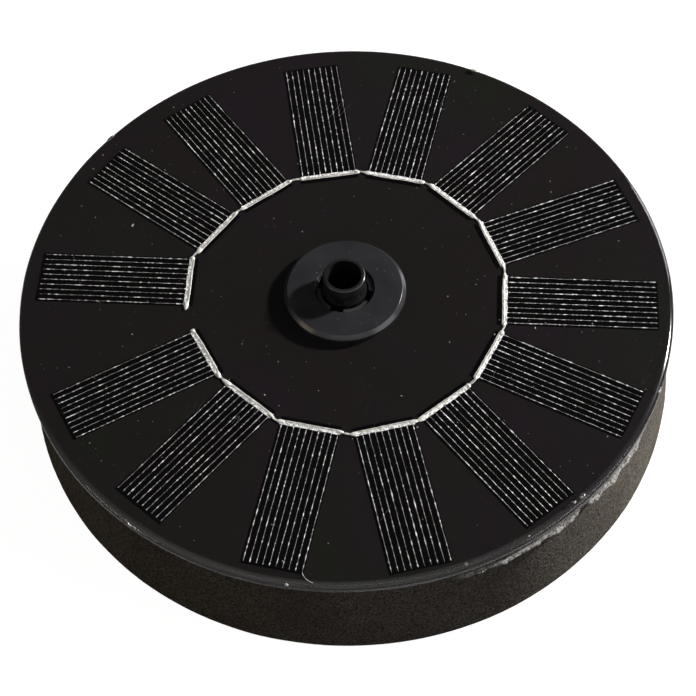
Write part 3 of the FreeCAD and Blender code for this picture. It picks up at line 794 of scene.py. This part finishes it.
# ---- Operators -----------------------------------------------------------------
FLOOR_GAP = 0.05 * MM
FLOOR_GLOW_MIRRORED = 0.24
FLOOR_GLOW_SEEN = 0.96
FLOOR_BOUNCE = (0.06, 0.06, 0.06, 1.0)
WORLD_LIGHT = (0.075, 0.074, 0.073, 1.0)
WORLD_SEEN = (0.93, 0.93, 0.93, 1.0)
STUDIO_DARK = (0.040, 0.039, 0.040)
STUDIO_PALE = (0.72, 0.71, 0.70)
LIGHT_DISTANCE = 1.0
KEY_DISTANCE = 1.2
SOFT_LIGHTS = {
    # name: azimuth and elevation in degrees, width and height in metres, watts, colour
    "side_soft": (-26, 24, (0.62, 0.40), 1.5, (0.95, 0.92, 1.0)),
    "warm_soft": (203, 22, (0.40, 0.22), 0.55, (1.0, 0.80, 0.52)),
    "edge_soft": (42, 14, (0.30, 0.40), 1.8, (1.0, 1.0, 1.0)),
    "front_card": (-90, 36, (0.90, 0.07), 0.18, (1.0, 0.97, 0.95)),
    "upper_card": (-90, 64, (0.90, 0.07), 0.22, (1.0, 0.97, 0.95)),
}
RING_TURNS = 720
COLLAR_TURNS = 256
CAMERA_TARGET = Vector((0.05 * MM, -16.23 * MM, PANEL_TOP))


class FOUNTAIN_OT_stage(bpy.types.Operator):
    """Make the floor, the lights, the world and the camera"""
    bl_idname = "fountain.stage"
    bl_label = "Stage"

    def execute(self, context):
        settings = context.scene.fountain_stage
        self.make_floor(settings)
        self.make_world(context.scene)
        self.make_lights(settings)
        self.make_camera(context.scene, settings)
        context.scene.view_settings.view_transform = "Standard"
        return {"FINISHED"}

    def make_floor(self, settings):
        """A flat disc just under the float, clear from below, and paler where seen or mirrored."""
        sides = 96
        rim = heading(np.arange(sides) * FULL_TURN / sides) * settings.floor_size
        rim = flat(rim, FOAM_LOW.z - FLOOR_GAP)
        mesh = bpy.data.meshes.new("floor")
        mesh.from_pydata(rim.tolist(), [], [list(range(sides))])
        material, tree, shader = new_finish("Pale paper", Roughness=0.9, Specular_IOR_Level=0.1)
        fibre = noise(tree, object_coordinates(tree), 900.0, 3.0)
        colour = settings.floor_colour
        tone = mixed(tree, between(tree, fibre, 0.3, 0.7), tinted(colour, 0.985), colour)
        feed(tree, shader, Base_Color=tone)
        path = add_node(tree, "ShaderNodeLightPath").outputs
        strength = between(tree, path["Is Camera Ray"], 0.0, 1.0, FLOOR_GLOW_MIRRORED, FLOOR_GLOW_SEEN)
        glow = add_node(tree, "ShaderNodeEmission", {"Color": (1.0, 1.0, 1.0, 1.0), "Strength": strength})
        bright = add_node(tree, "ShaderNodeAddShader", {0: shader.outputs[0], 1: glow.outputs[0]})
        dim = add_node(tree, "ShaderNodeBsdfDiffuse", {"Color": FLOOR_BOUNCE})
        seen = calc(tree, "MAXIMUM", path["Is Camera Ray"], path["Is Glossy Ray"])
        both = mixed_shader(tree, seen, dim, bright)
        under = add_node(tree, "ShaderNodeNewGeometry").outputs["Backfacing"]
        clear = add_node(tree, "ShaderNodeBsdfTransparent")
        paper = mixed_shader(tree, under, both, clear)
        tree.links.new(paper.outputs[0], tree.nodes["Material Output"].inputs["Surface"])
        mesh.materials.append(material)
        floor = new_object("floor", mesh)

    def make_world(self, scene):
        """Dim for the light it gives, pale where the camera looks past the floor.

        What gloss mirrors is a white studio in front, and a dark one behind and above.
        """
        world = bpy.data.worlds.new("studio")
        world.use_nodes = True
        tree = world.node_tree
        dim = tree.nodes["Background"]
        dim.inputs["Color"].default_value = WORLD_LIGHT
        direction = add_node(tree, "ShaderNodeTexCoord").outputs["Generated"]
        towards = add_node(tree, "ShaderNodeSeparateXYZ", {0: direction}).outputs
        front = between(tree, towards["Y"], 0.35, -0.15)
        lit_share = calc(tree, "MULTIPLY", front, between(tree, towards["Z"], 0.05, 0.60, 0.30, 1.0))
        room = mixed(tree, lit_share, STUDIO_DARK, STUDIO_PALE)
        mirrored = add_node(tree, "ShaderNodeBackground", {"Color": room})
        pale = add_node(tree, "ShaderNodeBackground", {"Color": WORLD_SEEN})
        path = add_node(tree, "ShaderNodeLightPath").outputs
        lit = mixed_shader(tree, path["Is Glossy Ray"], dim, mirrored)
        both = mixed_shader(tree, path["Is Camera Ray"], lit, pale)
        tree.links.new(both.outputs[0], tree.nodes["World Output"].inputs["Surface"])
        scene.world = world

    def make_lights(self, settings):
        """A small hard key, and dim soft lights that the glossy edges mirror."""
        key = settings.key_azimuth, settings.key_elevation
        self.area_light("key", key, KEY_DISTANCE, (0.11, 0.11), settings.key_power, (1.0, 0.98, 0.95), "DISK")
        for name, (azimuth, elevation, size, power, colour) in SOFT_LIGHTS.items():
            direction = math.radians(azimuth), math.radians(elevation)
            self.area_light(name, direction, LIGHT_DISTANCE, size, power, colour)

    def area_light(self, name, direction, distance, size, power, colour, shape="RECTANGLE"):
        """A lamp aimed at the panel's middle. Rays bent by the resin pass it, which keeps noise out."""
        azimuth, elevation = direction
        data = bpy.data.lights.new(name, "AREA")
        data.shape = shape
        data.size, data.size_y = size
        data.energy = power
        data.color = colour
        light = new_object(name, data)
        away = Vector((math.cos(azimuth) * math.cos(elevation), math.sin(azimuth) * math.cos(elevation),
                       math.sin(elevation)))
        light.location = Vector((0, 0, PANEL_TOP)) + away * distance
        light.rotation_mode = "QUATERNION"
        light.rotation_quaternion = away.to_track_quat("Z", "Y")
        light.visible_transmission = False

    def make_camera(self, scene, settings):
        """Looks at the panel's front half from above, along +Y, slightly rolled."""
        data = bpy.data.cameras.new("camera")
        data.lens = settings.lens
        data.clip_start = 0.01
        camera = new_object("camera", data)
        back = Vector((0, -math.cos(settings.elevation), math.sin(settings.elevation)))
        up = Vector((0, math.sin(settings.elevation), math.cos(settings.elevation)))
        right = Vector((1, 0, 0))
        turned_right = right * math.cos(settings.roll) + up * math.sin(settings.roll)
        turned_up = up * math.cos(settings.roll) - right * math.sin(settings.roll)
        place = Matrix((turned_right, turned_up, back)).transposed().to_4x4()
        place.translation = CAMERA_TARGET + back * settings.distance
        camera.matrix_world = place
        scene.camera = camera


class FOUNTAIN_OT_board(bpy.types.Operator):
    """Finish the board and the cells, which keep their CAD shapes"""
    bl_idname = "fountain.board"
    bl_label = "Board and cells"

    def execute(self, context):
        settings = context.scene.fountain_panel
        dress("panel_board", board_finish(settings))
        silicon = silicon_finish(settings)
        for name in CELLS:
            dress(name, silicon)
        return {"FINISHED"}


def dress(node, material):
    """Give a CAD node its finish."""
    mesh = NODES[node].data
    mesh.materials.clear()
    mesh.materials.append(material)


PRINT_SINK = 0.002 * MM
LINE_STATIONS = 150
KNOT_LENGTH = 0.5 * MM


def half_print(settings):
    """Half the distance from a cell's first printed line to its last."""
    return (settings.finger_count - 1) / 2 * settings.finger_pitch


class FOUNTAIN_OT_prints(bpy.types.Operator):
    """Print the silver lines and their bar on each cell"""
    bl_idname = "fountain.prints"
    bl_label = "Silver prints"

    def execute(self, context):
        settings = context.scene.fountain_panel
        silver = silver_finish(settings)
        for index, name in enumerate(CELLS):
            shape = joined([self.fingers(settings, name, index), self.bus(settings, name, index)])
            make_piece("silver_print_%02d" % (index + 1), shape, silver, "float")
        return {"FINISHED"}

    def fingers(self, settings, name, index):
        """Straight lines outwards; each one's width and place waver as the screen printed them."""
        inner, out, side = cell_place(name)
        along = np.linspace(-0.3 * MM, settings.finger_length, LINE_STATIONS)
        number = np.arange(settings.finger_count)
        offset = number * settings.finger_pitch - half_print(settings)
        lane = (number * 7.3 + index * 91.0)[:, None]
        waver = smooth_noise(along[None] / (2.6 * MM), lane, seed=11) * 0.03 * MM
        start = inner + out * settings.bus_inset
        plan = start + along[None, :, None] * out + (offset[:, None] + waver)[..., None] * side
        slow = smooth_noise(along[None] / (1.9 * MM), lane, seed=12)
        knots = smooth_noise(along[None] / KNOT_LENGTH, lane, seed=13)
        width = settings.finger_width * (1.08 + 0.2 * slow + 3.1 * np.clip(knots - 0.3, -0.2, 1))
        width[:, -1] *= 0.4
        thickness = np.full_like(width, settings.print_height)
        across = np.broadcast_to(flat(side, 0.0), (*plan.shape[:2], 3))
        return sweep(flat(plan, CELL_TOP - PRINT_SINK), across, BAR, width, thickness)

    def bus(self, settings, name, index):
        """One bar across the lines' inner ends, with a ragged inner edge."""
        inner, out, side = cell_place(name)
        half = half_print(settings) + 0.5 * MM
        share = np.linspace(-half, half, 70)
        wander = smooth_noise(share / (0.7 * MM), index * 3.0, seed=14) * 0.07 * MM
        middle = inner + out * (settings.bus_inset - settings.bus_depth / 2)
        plan = middle + share[:, None] * side + wander[:, None] * out
        width = settings.bus_depth * (1 + 0.08 * smooth_noise(share / (0.5 * MM), index * 5.0, seed=15))
        thickness = np.full_like(width, settings.print_height * 1.4)
        across = np.broadcast_to(flat(out, 0.0), (1, len(share), 3))
        return sweep(flat(plan, CELL_TOP - PRINT_SINK)[None], across, BAR, width[None], thickness[None])


class FOUNTAIN_OT_ribbons(bpy.types.Operator):
    """Lay the tinned ribbons along the cells and over to the next cell, and solder them"""
    bl_idname = "fountain.ribbons"
    bl_label = "Ribbons and solder"

    def execute(self, context):
        settings = context.scene.fountain_panel
        tin = tin_finish(settings)
        places = [cell_place(name) for name in CELLS]
        for index, node in enumerate(RIBBONS):
            parts = [self.straight(settings, places[index], index)]
            if index + 1 < len(places):
                parts.append(self.link(settings, places[index], places[index + 1], index))
            ribbon = make_piece(node + "_laid", joined(parts), tin, "float", [node])
            in_middle = np.tile(HOLLOW_BAR[:, 0] == 0, len(ribbon.data.vertices) // len(HOLLOW_BAR))
            middle = ribbon.data.attributes.new("middle", "FLOAT", "POINT")
            middle.data.foreach_set("value", in_middle.astype(float))
        make_piece("solder_beads", self.beads(settings, places), tin, "float",
                   ["solder_joints"])
        return {"FINISHED"}

    def end_of(self, settings, place, sign, outwards=0.0):
        """A ribbon's end; sign +1 is the end towards the next cell of the string."""
        inner, out, side = place
        reach = half_print(settings) + 0.65 * MM
        line_in = settings.bus_inset - settings.ribbon_inset + outwards
        return inner + out * line_in + side * reach * sign

    def straight(self, settings, place, index):
        """A flat bar from end to end of the cell, bowed and pinched a little by hand."""
        share = np.linspace(0, 1, 90)[:, None]
        plan = self.end_of(settings, place, -1) * (1 - share) + self.end_of(settings, place, 1) * share
        bow = smooth_noise(share[:, 0] * 3, index * 2.0, seed=21) * 0.08 * MM
        plan = plan + bow[:, None] * place[1]
        width = settings.ribbon_width * (1 + 0.14 * smooth_noise(share[:, 0] * 30, index * 4.0, seed=22))
        base = CELL_TOP + settings.print_height
        swell = 1 + 0.5 * smooth_noise(share[:, 0] * 24, index * 6.0, seed=23)
        thickness = (RIBBON_TOP - base) * swell
        return strip_along(plan[None], base, width[None], thickness[None], HOLLOW_BAR)

    def link(self, settings, place, following, index):
        """The loose end, from the outer side of one bar in a quadratic bend to the next bar."""
        start = self.end_of(settings, place, 1, 0.45 * MM) - place[2] * 1.1 * MM
        bend = self.end_of(settings, place, 1, 0.55 * MM) + place[2] * (0.55 + 0.15 * (index % 3)) * MM
        end = self.end_of(settings, following, -1, 0.1 * MM) + following[2] * 0.9 * MM
        share = np.linspace(0, 1, 40)[:, None]
        plan = bend_through((start, bend, end), share)
        width = settings.ribbon_width * 0.82 * (1 + 0.2 * smooth_noise(share[:, 0] * 8, index * 3.0, seed=24))
        thickness = np.full(len(share), RIBBON_TOP - CELL_TOP) * 1.15
        return strip_along(plan[None], CELL_TOP + 0.03 * MM, width[None], thickness[None], HOLLOW_BAR)

    def beads(self, settings, places):
        """Ragged domes at both ends of every bar, some drawn out along the ribbon."""
        random = np.random.default_rng(31)
        ends = [(self.end_of(settings, place, sign, 0.25 * MM) - sign * place[2] * 0.25 * MM, place[2])
                for place in places for sign in (-1, 1)]
        plan = np.array([end for end, _ in ends])
        along = np.array([direction for _, direction in ends])
        count = len(plan)
        size = np.stack([random.uniform(0.45, 1.25, count), random.uniform(0.38, 0.62, count)], 1) * MM
        height = random.uniform(0.16, 0.34, count) * MM
        return mounds(flat(plan, RIBBON_TOP - 0.06 * MM), along, size, height,
                      seed=32, sides=20, rings=6, raggedness=0.22)


class FOUNTAIN_OT_resin(bpy.types.Operator):
    """Cast the clear resin over the board, with its uneven rim"""
    bl_idname = "fountain.resin"
    bl_label = "Resin"

    def execute(self, context):
        settings = context.scene.fountain_panel
        width, drop = settings.rim_width, settings.rim_height
        edge = PANEL_R - width
        sunk = BOARD_TOP - 0.05 * MM
        skirt = BOARD_TOP - settings.skirt_drop
        within = BOARD_R - 0.05 * MM
        outline = np.concatenate([
            line((PANEL_HOLE_R, sunk), (within, sunk), 3),
            line((within, sunk), (within, skirt), 3),
            arc((PANEL_R - 0.14 * MM, skirt + 0.14 * MM), 0.14 * MM, -90, 0, 4),
            line((PANEL_R, skirt + 0.14 * MM), (PANEL_R, PANEL_TOP - drop), 4),
            (edge - 0.3 * width, PANEL_TOP - drop) + (1.3 * width, 1.03 * drop) * arc((0, 0), 1.0, 0, 76, 22),
            line((edge, PANEL_TOP), (edge - 3 * MM, PANEL_TOP), 20),
            line((edge - 3 * MM, PANEL_TOP), (PANEL_HOLE_R, PANEL_TOP), 3),
            line((PANEL_HOLE_R, PANEL_TOP), (PANEL_HOLE_R, sunk), 2),
        ])

        def shift(angle, radius, height):
            """The rim swells and shrinks round the panel, and a low ridge runs just inside it."""
            at_rim = np.clip((radius - edge) / width, 0, 1)
            turn = angle / FULL_TURN
            swell = smooth_noise(turn * 40, 0.0, seed=41, wrap=40) * 0.04
            swell = swell + smooth_noise(turn * 90, 0.0, seed=42, wrap=90) * 0.01
            ridge_at = edge - (0.35 + 0.25 * smooth_noise(turn * 24, 0.0, seed=43, wrap=24)) * MM
            ridge = np.exp(-((radius - ridge_at) / (0.4 * MM)) ** 2) * (height > PANEL_TOP - 0.4 * MM)
            uneven = 1 + 0.6 * smooth_noise(turn * 48, 0.0, seed=44, wrap=48)
            return swell * at_rim * MM, ridge * settings.rim_ridge * uneven

        make_piece("cast_resin", lathe(outline, RING_TURNS, shift=shift), resin_finish(), "float",
                   ["panel_resin"])
        return {"FINISHED"}


class FOUNTAIN_OT_marks(bpy.types.Operator):
    """Scatter dust on the panel and add the glue, drips and stray wire of hand work"""
    bl_idname = "fountain.marks"
    bl_label = "Dust and glue"

    def execute(self, context):
        settings = context.scene.fountain_panel
        make_piece("panel_dust", self.dust(settings), dust_finish(), "float")
        make_piece("glue_beads", self.glue(settings), glue_and_glint_finish(), "float")
        make_piece("stray_wire", self.wire(settings), silver_finish(settings), "float")
        return {"FINISHED"}

    def dust(self, settings):
        """Flecks at random places on the panel, clear of the collar; few are large."""
        random = np.random.default_rng(51)
        count = settings.dust_count
        radius = np.sqrt(random.uniform(0.06, 1, count)) * (PANEL_R - 2 * MM)
        angle = random.uniform(0, FULL_TURN, count)
        plan = (radius[:, None] * heading(angle))[radius > COLLAR_R + 0.5 * MM]
        along = heading(random.uniform(0, FULL_TURN, len(plan)))
        wide = settings.dust_size / 2 * random.lognormal(-0.25, 0.45, len(plan))
        size = np.stack([wide * random.uniform(1.0, 2.2, len(plan)), wide], axis=1)
        return mounds(flat(plan, PANEL_TOP - 0.004 * MM), along, size, wide * 0.7,
                      seed=52, sides=6, rings=2, raggedness=0.5)

    def glue(self, settings):
        """Lumps that squeezed out at the rim, each at its own angle in degrees.

        Across the rim the resin falls as its height * (1 - sqrt(1 - share ** 2)).
        """
        lumps = np.array([
            # angle; inset from the rim, half length, half width and height in mm
            (-51.2, 1.25, 0.75, 0.45, 0.42),
            (-49.4, 1.05, 0.95, 0.60, 0.50),
            (-72.5, 1.0, 0.45, 0.35, 0.25),
            (-61.0, 0.8, 0.35, 0.25, 0.20),
            (-101.7, 0.3, 0.5, 0.4, 0.3),
            (-128.6, 0.1, 2.2, 0.5, 0.7),
            (-131.2, 0.2, 1.2, 0.45, 0.6),
            (-24.0, 0.4, 0.8, 0.4, 0.3),
            (62.0, 0.5, 1.1, 0.4, 0.4),
            (138.0, 0.5, 1.4, 0.45, 0.4),
        ])
        turn = np.radians(lumps[:, 0])
        inset = lumps[:, 1] * MM
        plan = (PANEL_R - inset)[:, None] * heading(turn)
        along = -right_of(heading(turn))
        share = np.clip(1 - inset / settings.rim_width, 0, 1)
        height = PANEL_TOP - settings.rim_height * (1 - np.sqrt(1 - share ** 2)) - 0.15 * MM
        centres = np.concatenate([plan, height[:, None]], axis=1)
        return mounds(centres, along, lumps[:, 2:4] * MM, lumps[:, 4] * MM,
                      seed=61, sides=28, rings=9, raggedness=0.25)

    def wire(self, settings):
        """A thin tail that runs on from the last line of one cell to the rim."""
        front_cell = CELLS[11]
        inner, out, side = cell_place(front_cell)
        tip = inner + out * (settings.bus_inset + settings.finger_length) - side * half_print(settings)
        start = np.array([*tip, CELL_TOP + 0.05 * MM])
        bend = start + np.array([0.3, -2.0, 0.2]) * MM
        end = start + np.array([2.4, -2.9, 0.5]) * MM
        return thread([start, bend, end], 0.055 * MM, seed=71)


class FOUNTAIN_OT_float(bpy.types.Operator):
    """Cut the foam float ring, with its rough edge and waves"""
    bl_idname = "fountain.float"
    bl_label = "Float"

    def execute(self, context):
        settings = context.scene.fountain_float
        soft = settings.edge_round
        low, high = FOAM_LOW.z, FOAM_HIGH.z
        hole, outer = FOAM_HOLE_R, FOAM_R
        outline = np.concatenate([
            arc((outer - soft, low + soft), soft, -90, 0, 7),
            line((outer, low + soft), (FOAM_TOP_R, high - soft), 56),
            arc((FOAM_TOP_R - soft, high - soft), soft, 0, 90, 10),
            line((FOAM_TOP_R - soft, high), (FOAM_TOP_R - 4 * soft, high), 8),
            line((FOAM_TOP_R - 4 * soft, high), (hole + soft, high), 3),
            arc((hole + soft, high - soft), soft, 90, 180, 4),
            line((hole, high - soft), (hole, low + soft), 8),
            arc((hole + soft, low + soft), soft, 180, 270, 4),
            line((hole + soft, low), (outer - soft, low), 6),
        ])

        def shift(angle, radius, height):
            """Slow waves and a fine pebble on the side; torn cells and a lip at the top edge."""
            turn = angle / FULL_TURN
            rise = (height - low) / (high - low)
            side_r = outer + (FOAM_TOP_R - outer) * rise
            on_side = np.clip((radius - side_r + 2 * soft) / soft, 0, 1)
            waves = smooth_noise(turn * 18, rise * 2.2, seed=81, wrap=18)
            waves = waves + 0.5 * smooth_noise(turn * 60, rise * 5, seed=82, wrap=60)
            pebble = smooth_noise(turn * 720, height / (0.7 * MM), seed=83, wrap=720)
            torn = smooth_noise(turn * 380, height / (0.5 * MM), seed=84, wrap=380)
            near_top = np.clip((height - high + 1.6 * soft) / soft, 0, 1) * on_side
            outwards = on_side * (waves * settings.wave_depth * 0.6 + pebble * 0.02 * MM)
            outwards = outwards + near_top * torn * settings.roughness_depth
            lip = self.lip_and_highlight_share(angle, height)
            outwards = outwards + on_side * lip * settings.lip_reach * (1 + 0.4 * torn)
            upwards = -near_top * np.abs(torn) * settings.roughness_depth * 0.8
            return outwards, upwards

        points, faces = lathe(outline, RING_TURNS, FOAM_CENTRE, shift)
        foam = foam_finish(settings)
        ring = make_piece("foam_float", (points, faces), foam, "float", ["float_ring"],
                          crease=80.0)
        # The lip's share is kept as an attribute for the painted highlight in the foam's colour.
        torn_and_highlight_share = ring.data.attributes.new("torn", "FLOAT", "POINT")
        turned = np.arctan2(points[:, 1], points[:, 0])
        torn_and_highlight_share.data.foreach_set("value", self.lip_and_highlight_share(turned, points[:, 2]))
        dress("float_adhesive", rubber_finish("Tape", settings.tape_colour, 0.5))
        return {"FINISHED"}

    def lip_and_highlight_share(self, angle, height):
        """How torn the top edge is, which also places its painted highlight: a smooth window round the front
        right, times a bell in height.
        """
        first, last, gap = -78, -24, -49.5
        depth, half_height = 2.1, 0.7
        degrees = (np.degrees(angle) + 180) % 360 - 180
        window = np.clip((degrees - first) / 8, 0, 1) * np.clip((last - degrees) / 14, 0, 1)
        window = eased(window) * (1 - 0.9 * np.exp(-((degrees - gap) / 1.3) ** 2))
        below = (FOAM_HIGH.z - height) / MM
        return (0.08 + 0.92 * window) * np.exp(-((below - depth) / half_height) ** 2)


class FOUNTAIN_OT_collar(bpy.types.Operator):
    """Turn the flanged collar round the outlet"""
    bl_idname = "fountain.collar"
    bl_label = "Collar"

    def execute(self, context):
        settings = context.scene.fountain_outlet
        bevel, bore = settings.collar_bevel, settings.collar_bore
        ledge = PANEL_TOP + settings.ledge_height
        lead_in = 0.3 * MM
        outline = rounded([
            (COLLAR_LEDGE_R, PANEL_TOP), (COLLAR_R, PANEL_TOP), (COLLAR_R, COLLAR_TOP - bevel),
            (COLLAR_R - bevel, COLLAR_TOP), (bore + lead_in, COLLAR_TOP), (bore, COLLAR_TOP - lead_in),
            (bore, ledge), (COLLAR_LEDGE_R, ledge),
        ], np.array([0.05, 0.1, 0.14, 0.14, 0.08, 0.08, 0.05, 0.06]) * MM)
        finish = moulding_finish("Collar plastic", settings.collar_colour, roughness=0.24, grain=3200.0,
                                 depth=0.006 * MM, dusty=0.06)
        make_piece("flange_collar", lathe(outline, COLLAR_TURNS), finish, "float",
                   ["outlet_collar"])
        return {"FINISHED"}


class FOUNTAIN_OT_lid(bpy.types.Operator):
    """Make the motor's lid with its four snap tongues"""
    bl_idname = "fountain.lid"
    bl_label = "Lid and tongues"

    def execute(self, context):
        settings = context.scene.fountain_outlet
        soft = settings.edge_softness
        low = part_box("motor_lid")[0].z
        plate_top = low + 1.2 * MM
        plate = lathe(rounded([
            (TONGUE_IN_R, low), (LID_R, low), (LID_R, plate_top), (TONGUE_IN_R, plate_top)], soft), 192)
        shape = joined([plate] + [self.tongue(settings, middle, plate_top) for middle in self.middles()])
        # Painted highlight: the lid is the pump's plastic made three times lighter, so that its tongues look
        # as bright as lit ones.
        colour = tinted(settings.pump_colour, 3.0)
        finish = moulding_finish("Lid plastic, lightened as painted highlight", colour, roughness=0.24, grain=3000.0,
                                 depth=0.006 * MM, dusty=0.03)
        make_piece("snap_lid", shape, finish, "float", ["motor_lid"])
        return {"FINISHED"}

    def middles(self):
        """The tongues' middle directions, read from the points of the CAD lid's tongues."""
        points = node_points("motor_lid")
        tips = points[points[:, 2] > TONGUE_TOP - 0.01 * MM]
        turn = np.arctan2(tips[:, 1], tips[:, 0])
        phase = np.angle(np.exp(4j * turn).mean()) / 4
        return phase + np.arange(4) * FULL_TURN / 4

    def tongue(self, settings, middle, foot):
        """A bar bent round the tube with a hooked, rounded top and softened ends."""
        soft = settings.edge_softness
        inner, outer, hook = TONGUE_IN_R, TONGUE_OUT_R - 0.2 * MM, TONGUE_OUT_R
        hook_low = PANEL_TOP + settings.ledge_height
        section = rounded([
            (inner, foot - 0.1 * MM), (outer, foot - 0.1 * MM), (outer, hook_low),
            (hook, hook_low + 0.02 * MM), (hook, TONGUE_TOP), (inner, TONGUE_TOP),
        ], np.array([0.05, 0.05, 0.03, 0.05, 1.7 * soft / MM, 1.7 * soft / MM]) * MM, 6)
        share = np.linspace(-1, 1, 33)
        angle = middle + share * settings.tongue_span / 2
        ease = np.sqrt(np.clip(1 - ((np.abs(share) - 0.94) / 0.06).clip(0) ** 2, 0.12, 1))
        middle_r = (inner + hook) / 2
        reach = middle_r + (section[None, :, 0] - middle_r) * ease[:, None]
        rise = foot + (section[None, :, 1] - foot) * (0.985 + 0.015 * ease[:, None])
        points = np.stack([reach * np.cos(angle)[:, None], reach * np.sin(angle)[:, None], rise], axis=-1)
        return points.reshape(-1, 3), tube_faces(1, *reach.shape)


class FOUNTAIN_OT_pump(bpy.types.Operator):
    """Finish the pump's mouldings, with soft edges on those that show"""
    bl_idname = "fountain.pump"
    bl_label = "Pump"

    def execute(self, context):
        settings = context.scene.fountain_outlet
        finish = moulding_finish("Pump plastic", settings.pump_colour, roughness=0.25, grain=2800.0,
                                 depth=0.008 * MM, dusty=0.02)
        dress("pump_base", finish)
        dress("volute_cover", finish)
        soft = settings.edge_softness
        moulded_copy("pump_case", "pump_shell", finish, "float", soft)
        moulded_copy("strainer", "strainer_cup", finish, "strainer", soft)
        rubber = rubber_finish("Seal rubber", (0.03, 0.03, 0.03))
        for name in ("neck_gasket", "upper_bush", "lower_bush"):
            dress(name, rubber)
        dress("pump_adhesive", rubber_finish("Sealant", (0.04, 0.04, 0.04), 0.45))
        return {"FINISHED"}


class FOUNTAIN_OT_rotor(bpy.types.Operator):
    """Finish the impeller, its magnet and its shaft"""
    bl_idname = "fountain.rotor"
    bl_label = "Rotor"

    def execute(self, context):
        dress("impeller", moulding_finish("Impeller plastic", (0.72, 0.72, 0.69), roughness=0.4,
                                          grain=2400.0))
        dress("rotor_magnet", moulding_finish("Ferrite", (0.09, 0.09, 0.095), roughness=0.55,
                                              grain=5200.0, depth=0.02 * MM))
        dress("rotor_shaft", moulding_finish("Ceramic", (0.84, 0.83, 0.79), roughness=0.22,
                                             grain=4000.0, depth=0.002 * MM))
        return {"FINISHED"}


class FOUNTAIN_OT_motor(bpy.types.Operator):
    """Finish the motor and its driver board"""
    bl_idname = "fountain.motor"
    bl_label = "Motor"

    def execute(self, context):
        finishes = {
            ("stator_core",): wound_finish("Stacked iron", (0.34, 0.34, 0.35), 0.5 * MM, "Z"),
            ("coil_bobbin_left", "coil_bobbin_right"):
                moulding_finish("Bobbin nylon", (0.78, 0.76, 0.67), 0.4, 2400.0),
            ("coil_winding_left", "coil_winding_right"):
                wound_finish("Enamelled wire", (0.72, 0.33, 0.14), 0.28 * MM, "X"),
            ("driver_board",): moulding_finish("Green mask", (0.03, 0.16, 0.07), 0.3, 1800.0),
            ("hall_sensor", "driver_chip"): moulding_finish("Chip package", (0.02, 0.02, 0.022), 0.5, 4200.0),
            ("smoothing_capacitor",): moulding_finish("Capacitor", (0.52, 0.40, 0.25), 0.4, 4000.0),
            ("lead_positive",): rubber_finish("Red insulation", (0.45, 0.03, 0.03), 0.45),
            ("lead_negative",): rubber_finish("Black insulation", (0.02, 0.02, 0.02), 0.45),
            ("lead_solder",): metal_finish("Lead solder", (0.78, 0.78, 0.76)),
            ("motor_potting",): rubber_finish("Potting", (0.015, 0.015, 0.015), 0.25),
        }
        for names, material in finishes.items():
            for name in names:
                dress(name, material)
        return {"FINISHED"}


class FOUNTAIN_PT_panel(bpy.types.Panel):
    """Lists the steps that build the pump"""
    bl_label = "Fountain pump"
    bl_idname = "FOUNTAIN_PT_panel"
    bl_space_type = "VIEW_3D"
    bl_region_type = "UI"
    bl_category = "Fountain"

    def draw(self, context):
        for operator in OPERATORS:
            self.layout.operator(operator.bl_idname)


SETTINGS = {
    "fountain_panel": PanelSettings,
    "fountain_float": FloatSettings,
    "fountain_outlet": OutletSettings,
    "fountain_stage": StageSettings,
}
OPERATORS = (
    FOUNTAIN_OT_stage, FOUNTAIN_OT_board, FOUNTAIN_OT_prints, FOUNTAIN_OT_ribbons, FOUNTAIN_OT_resin,
    FOUNTAIN_OT_marks, FOUNTAIN_OT_float, FOUNTAIN_OT_collar, FOUNTAIN_OT_lid, FOUNTAIN_OT_pump,
    FOUNTAIN_OT_rotor, FOUNTAIN_OT_motor,
)


def register():
    for group in SETTINGS.values():
        bpy.utils.register_class(group)
    for operator in OPERATORS:
        bpy.utils.register_class(operator)
    bpy.utils.register_class(FOUNTAIN_PT_panel)
    for name, group in SETTINGS.items():
        setattr(bpy.types.Scene, name, PointerProperty(type=group))


def unregister():
    for name in SETTINGS:
        delattr(bpy.types.Scene, name)
    bpy.utils.unregister_class(FOUNTAIN_PT_panel)
    for operator in reversed(OPERATORS):
        bpy.utils.unregister_class(operator)
    for group in reversed(SETTINGS.values()):
        bpy.utils.unregister_class(group)


def main():
    register()
    bpy.ops.fountain.stage()
    bpy.ops.fountain.board()
    bpy.ops.fountain.prints()
    bpy.ops.fountain.ribbons()
    bpy.ops.fountain.resin()
    bpy.ops.fountain.marks()
    bpy.ops.fountain.float()
    bpy.ops.fountain.collar()
    bpy.ops.fountain.lid()
    bpy.ops.fountain.pump()
    bpy.ops.fountain.rotor()
    bpy.ops.fountain.motor()


if __name__ == "__main__":
    main()
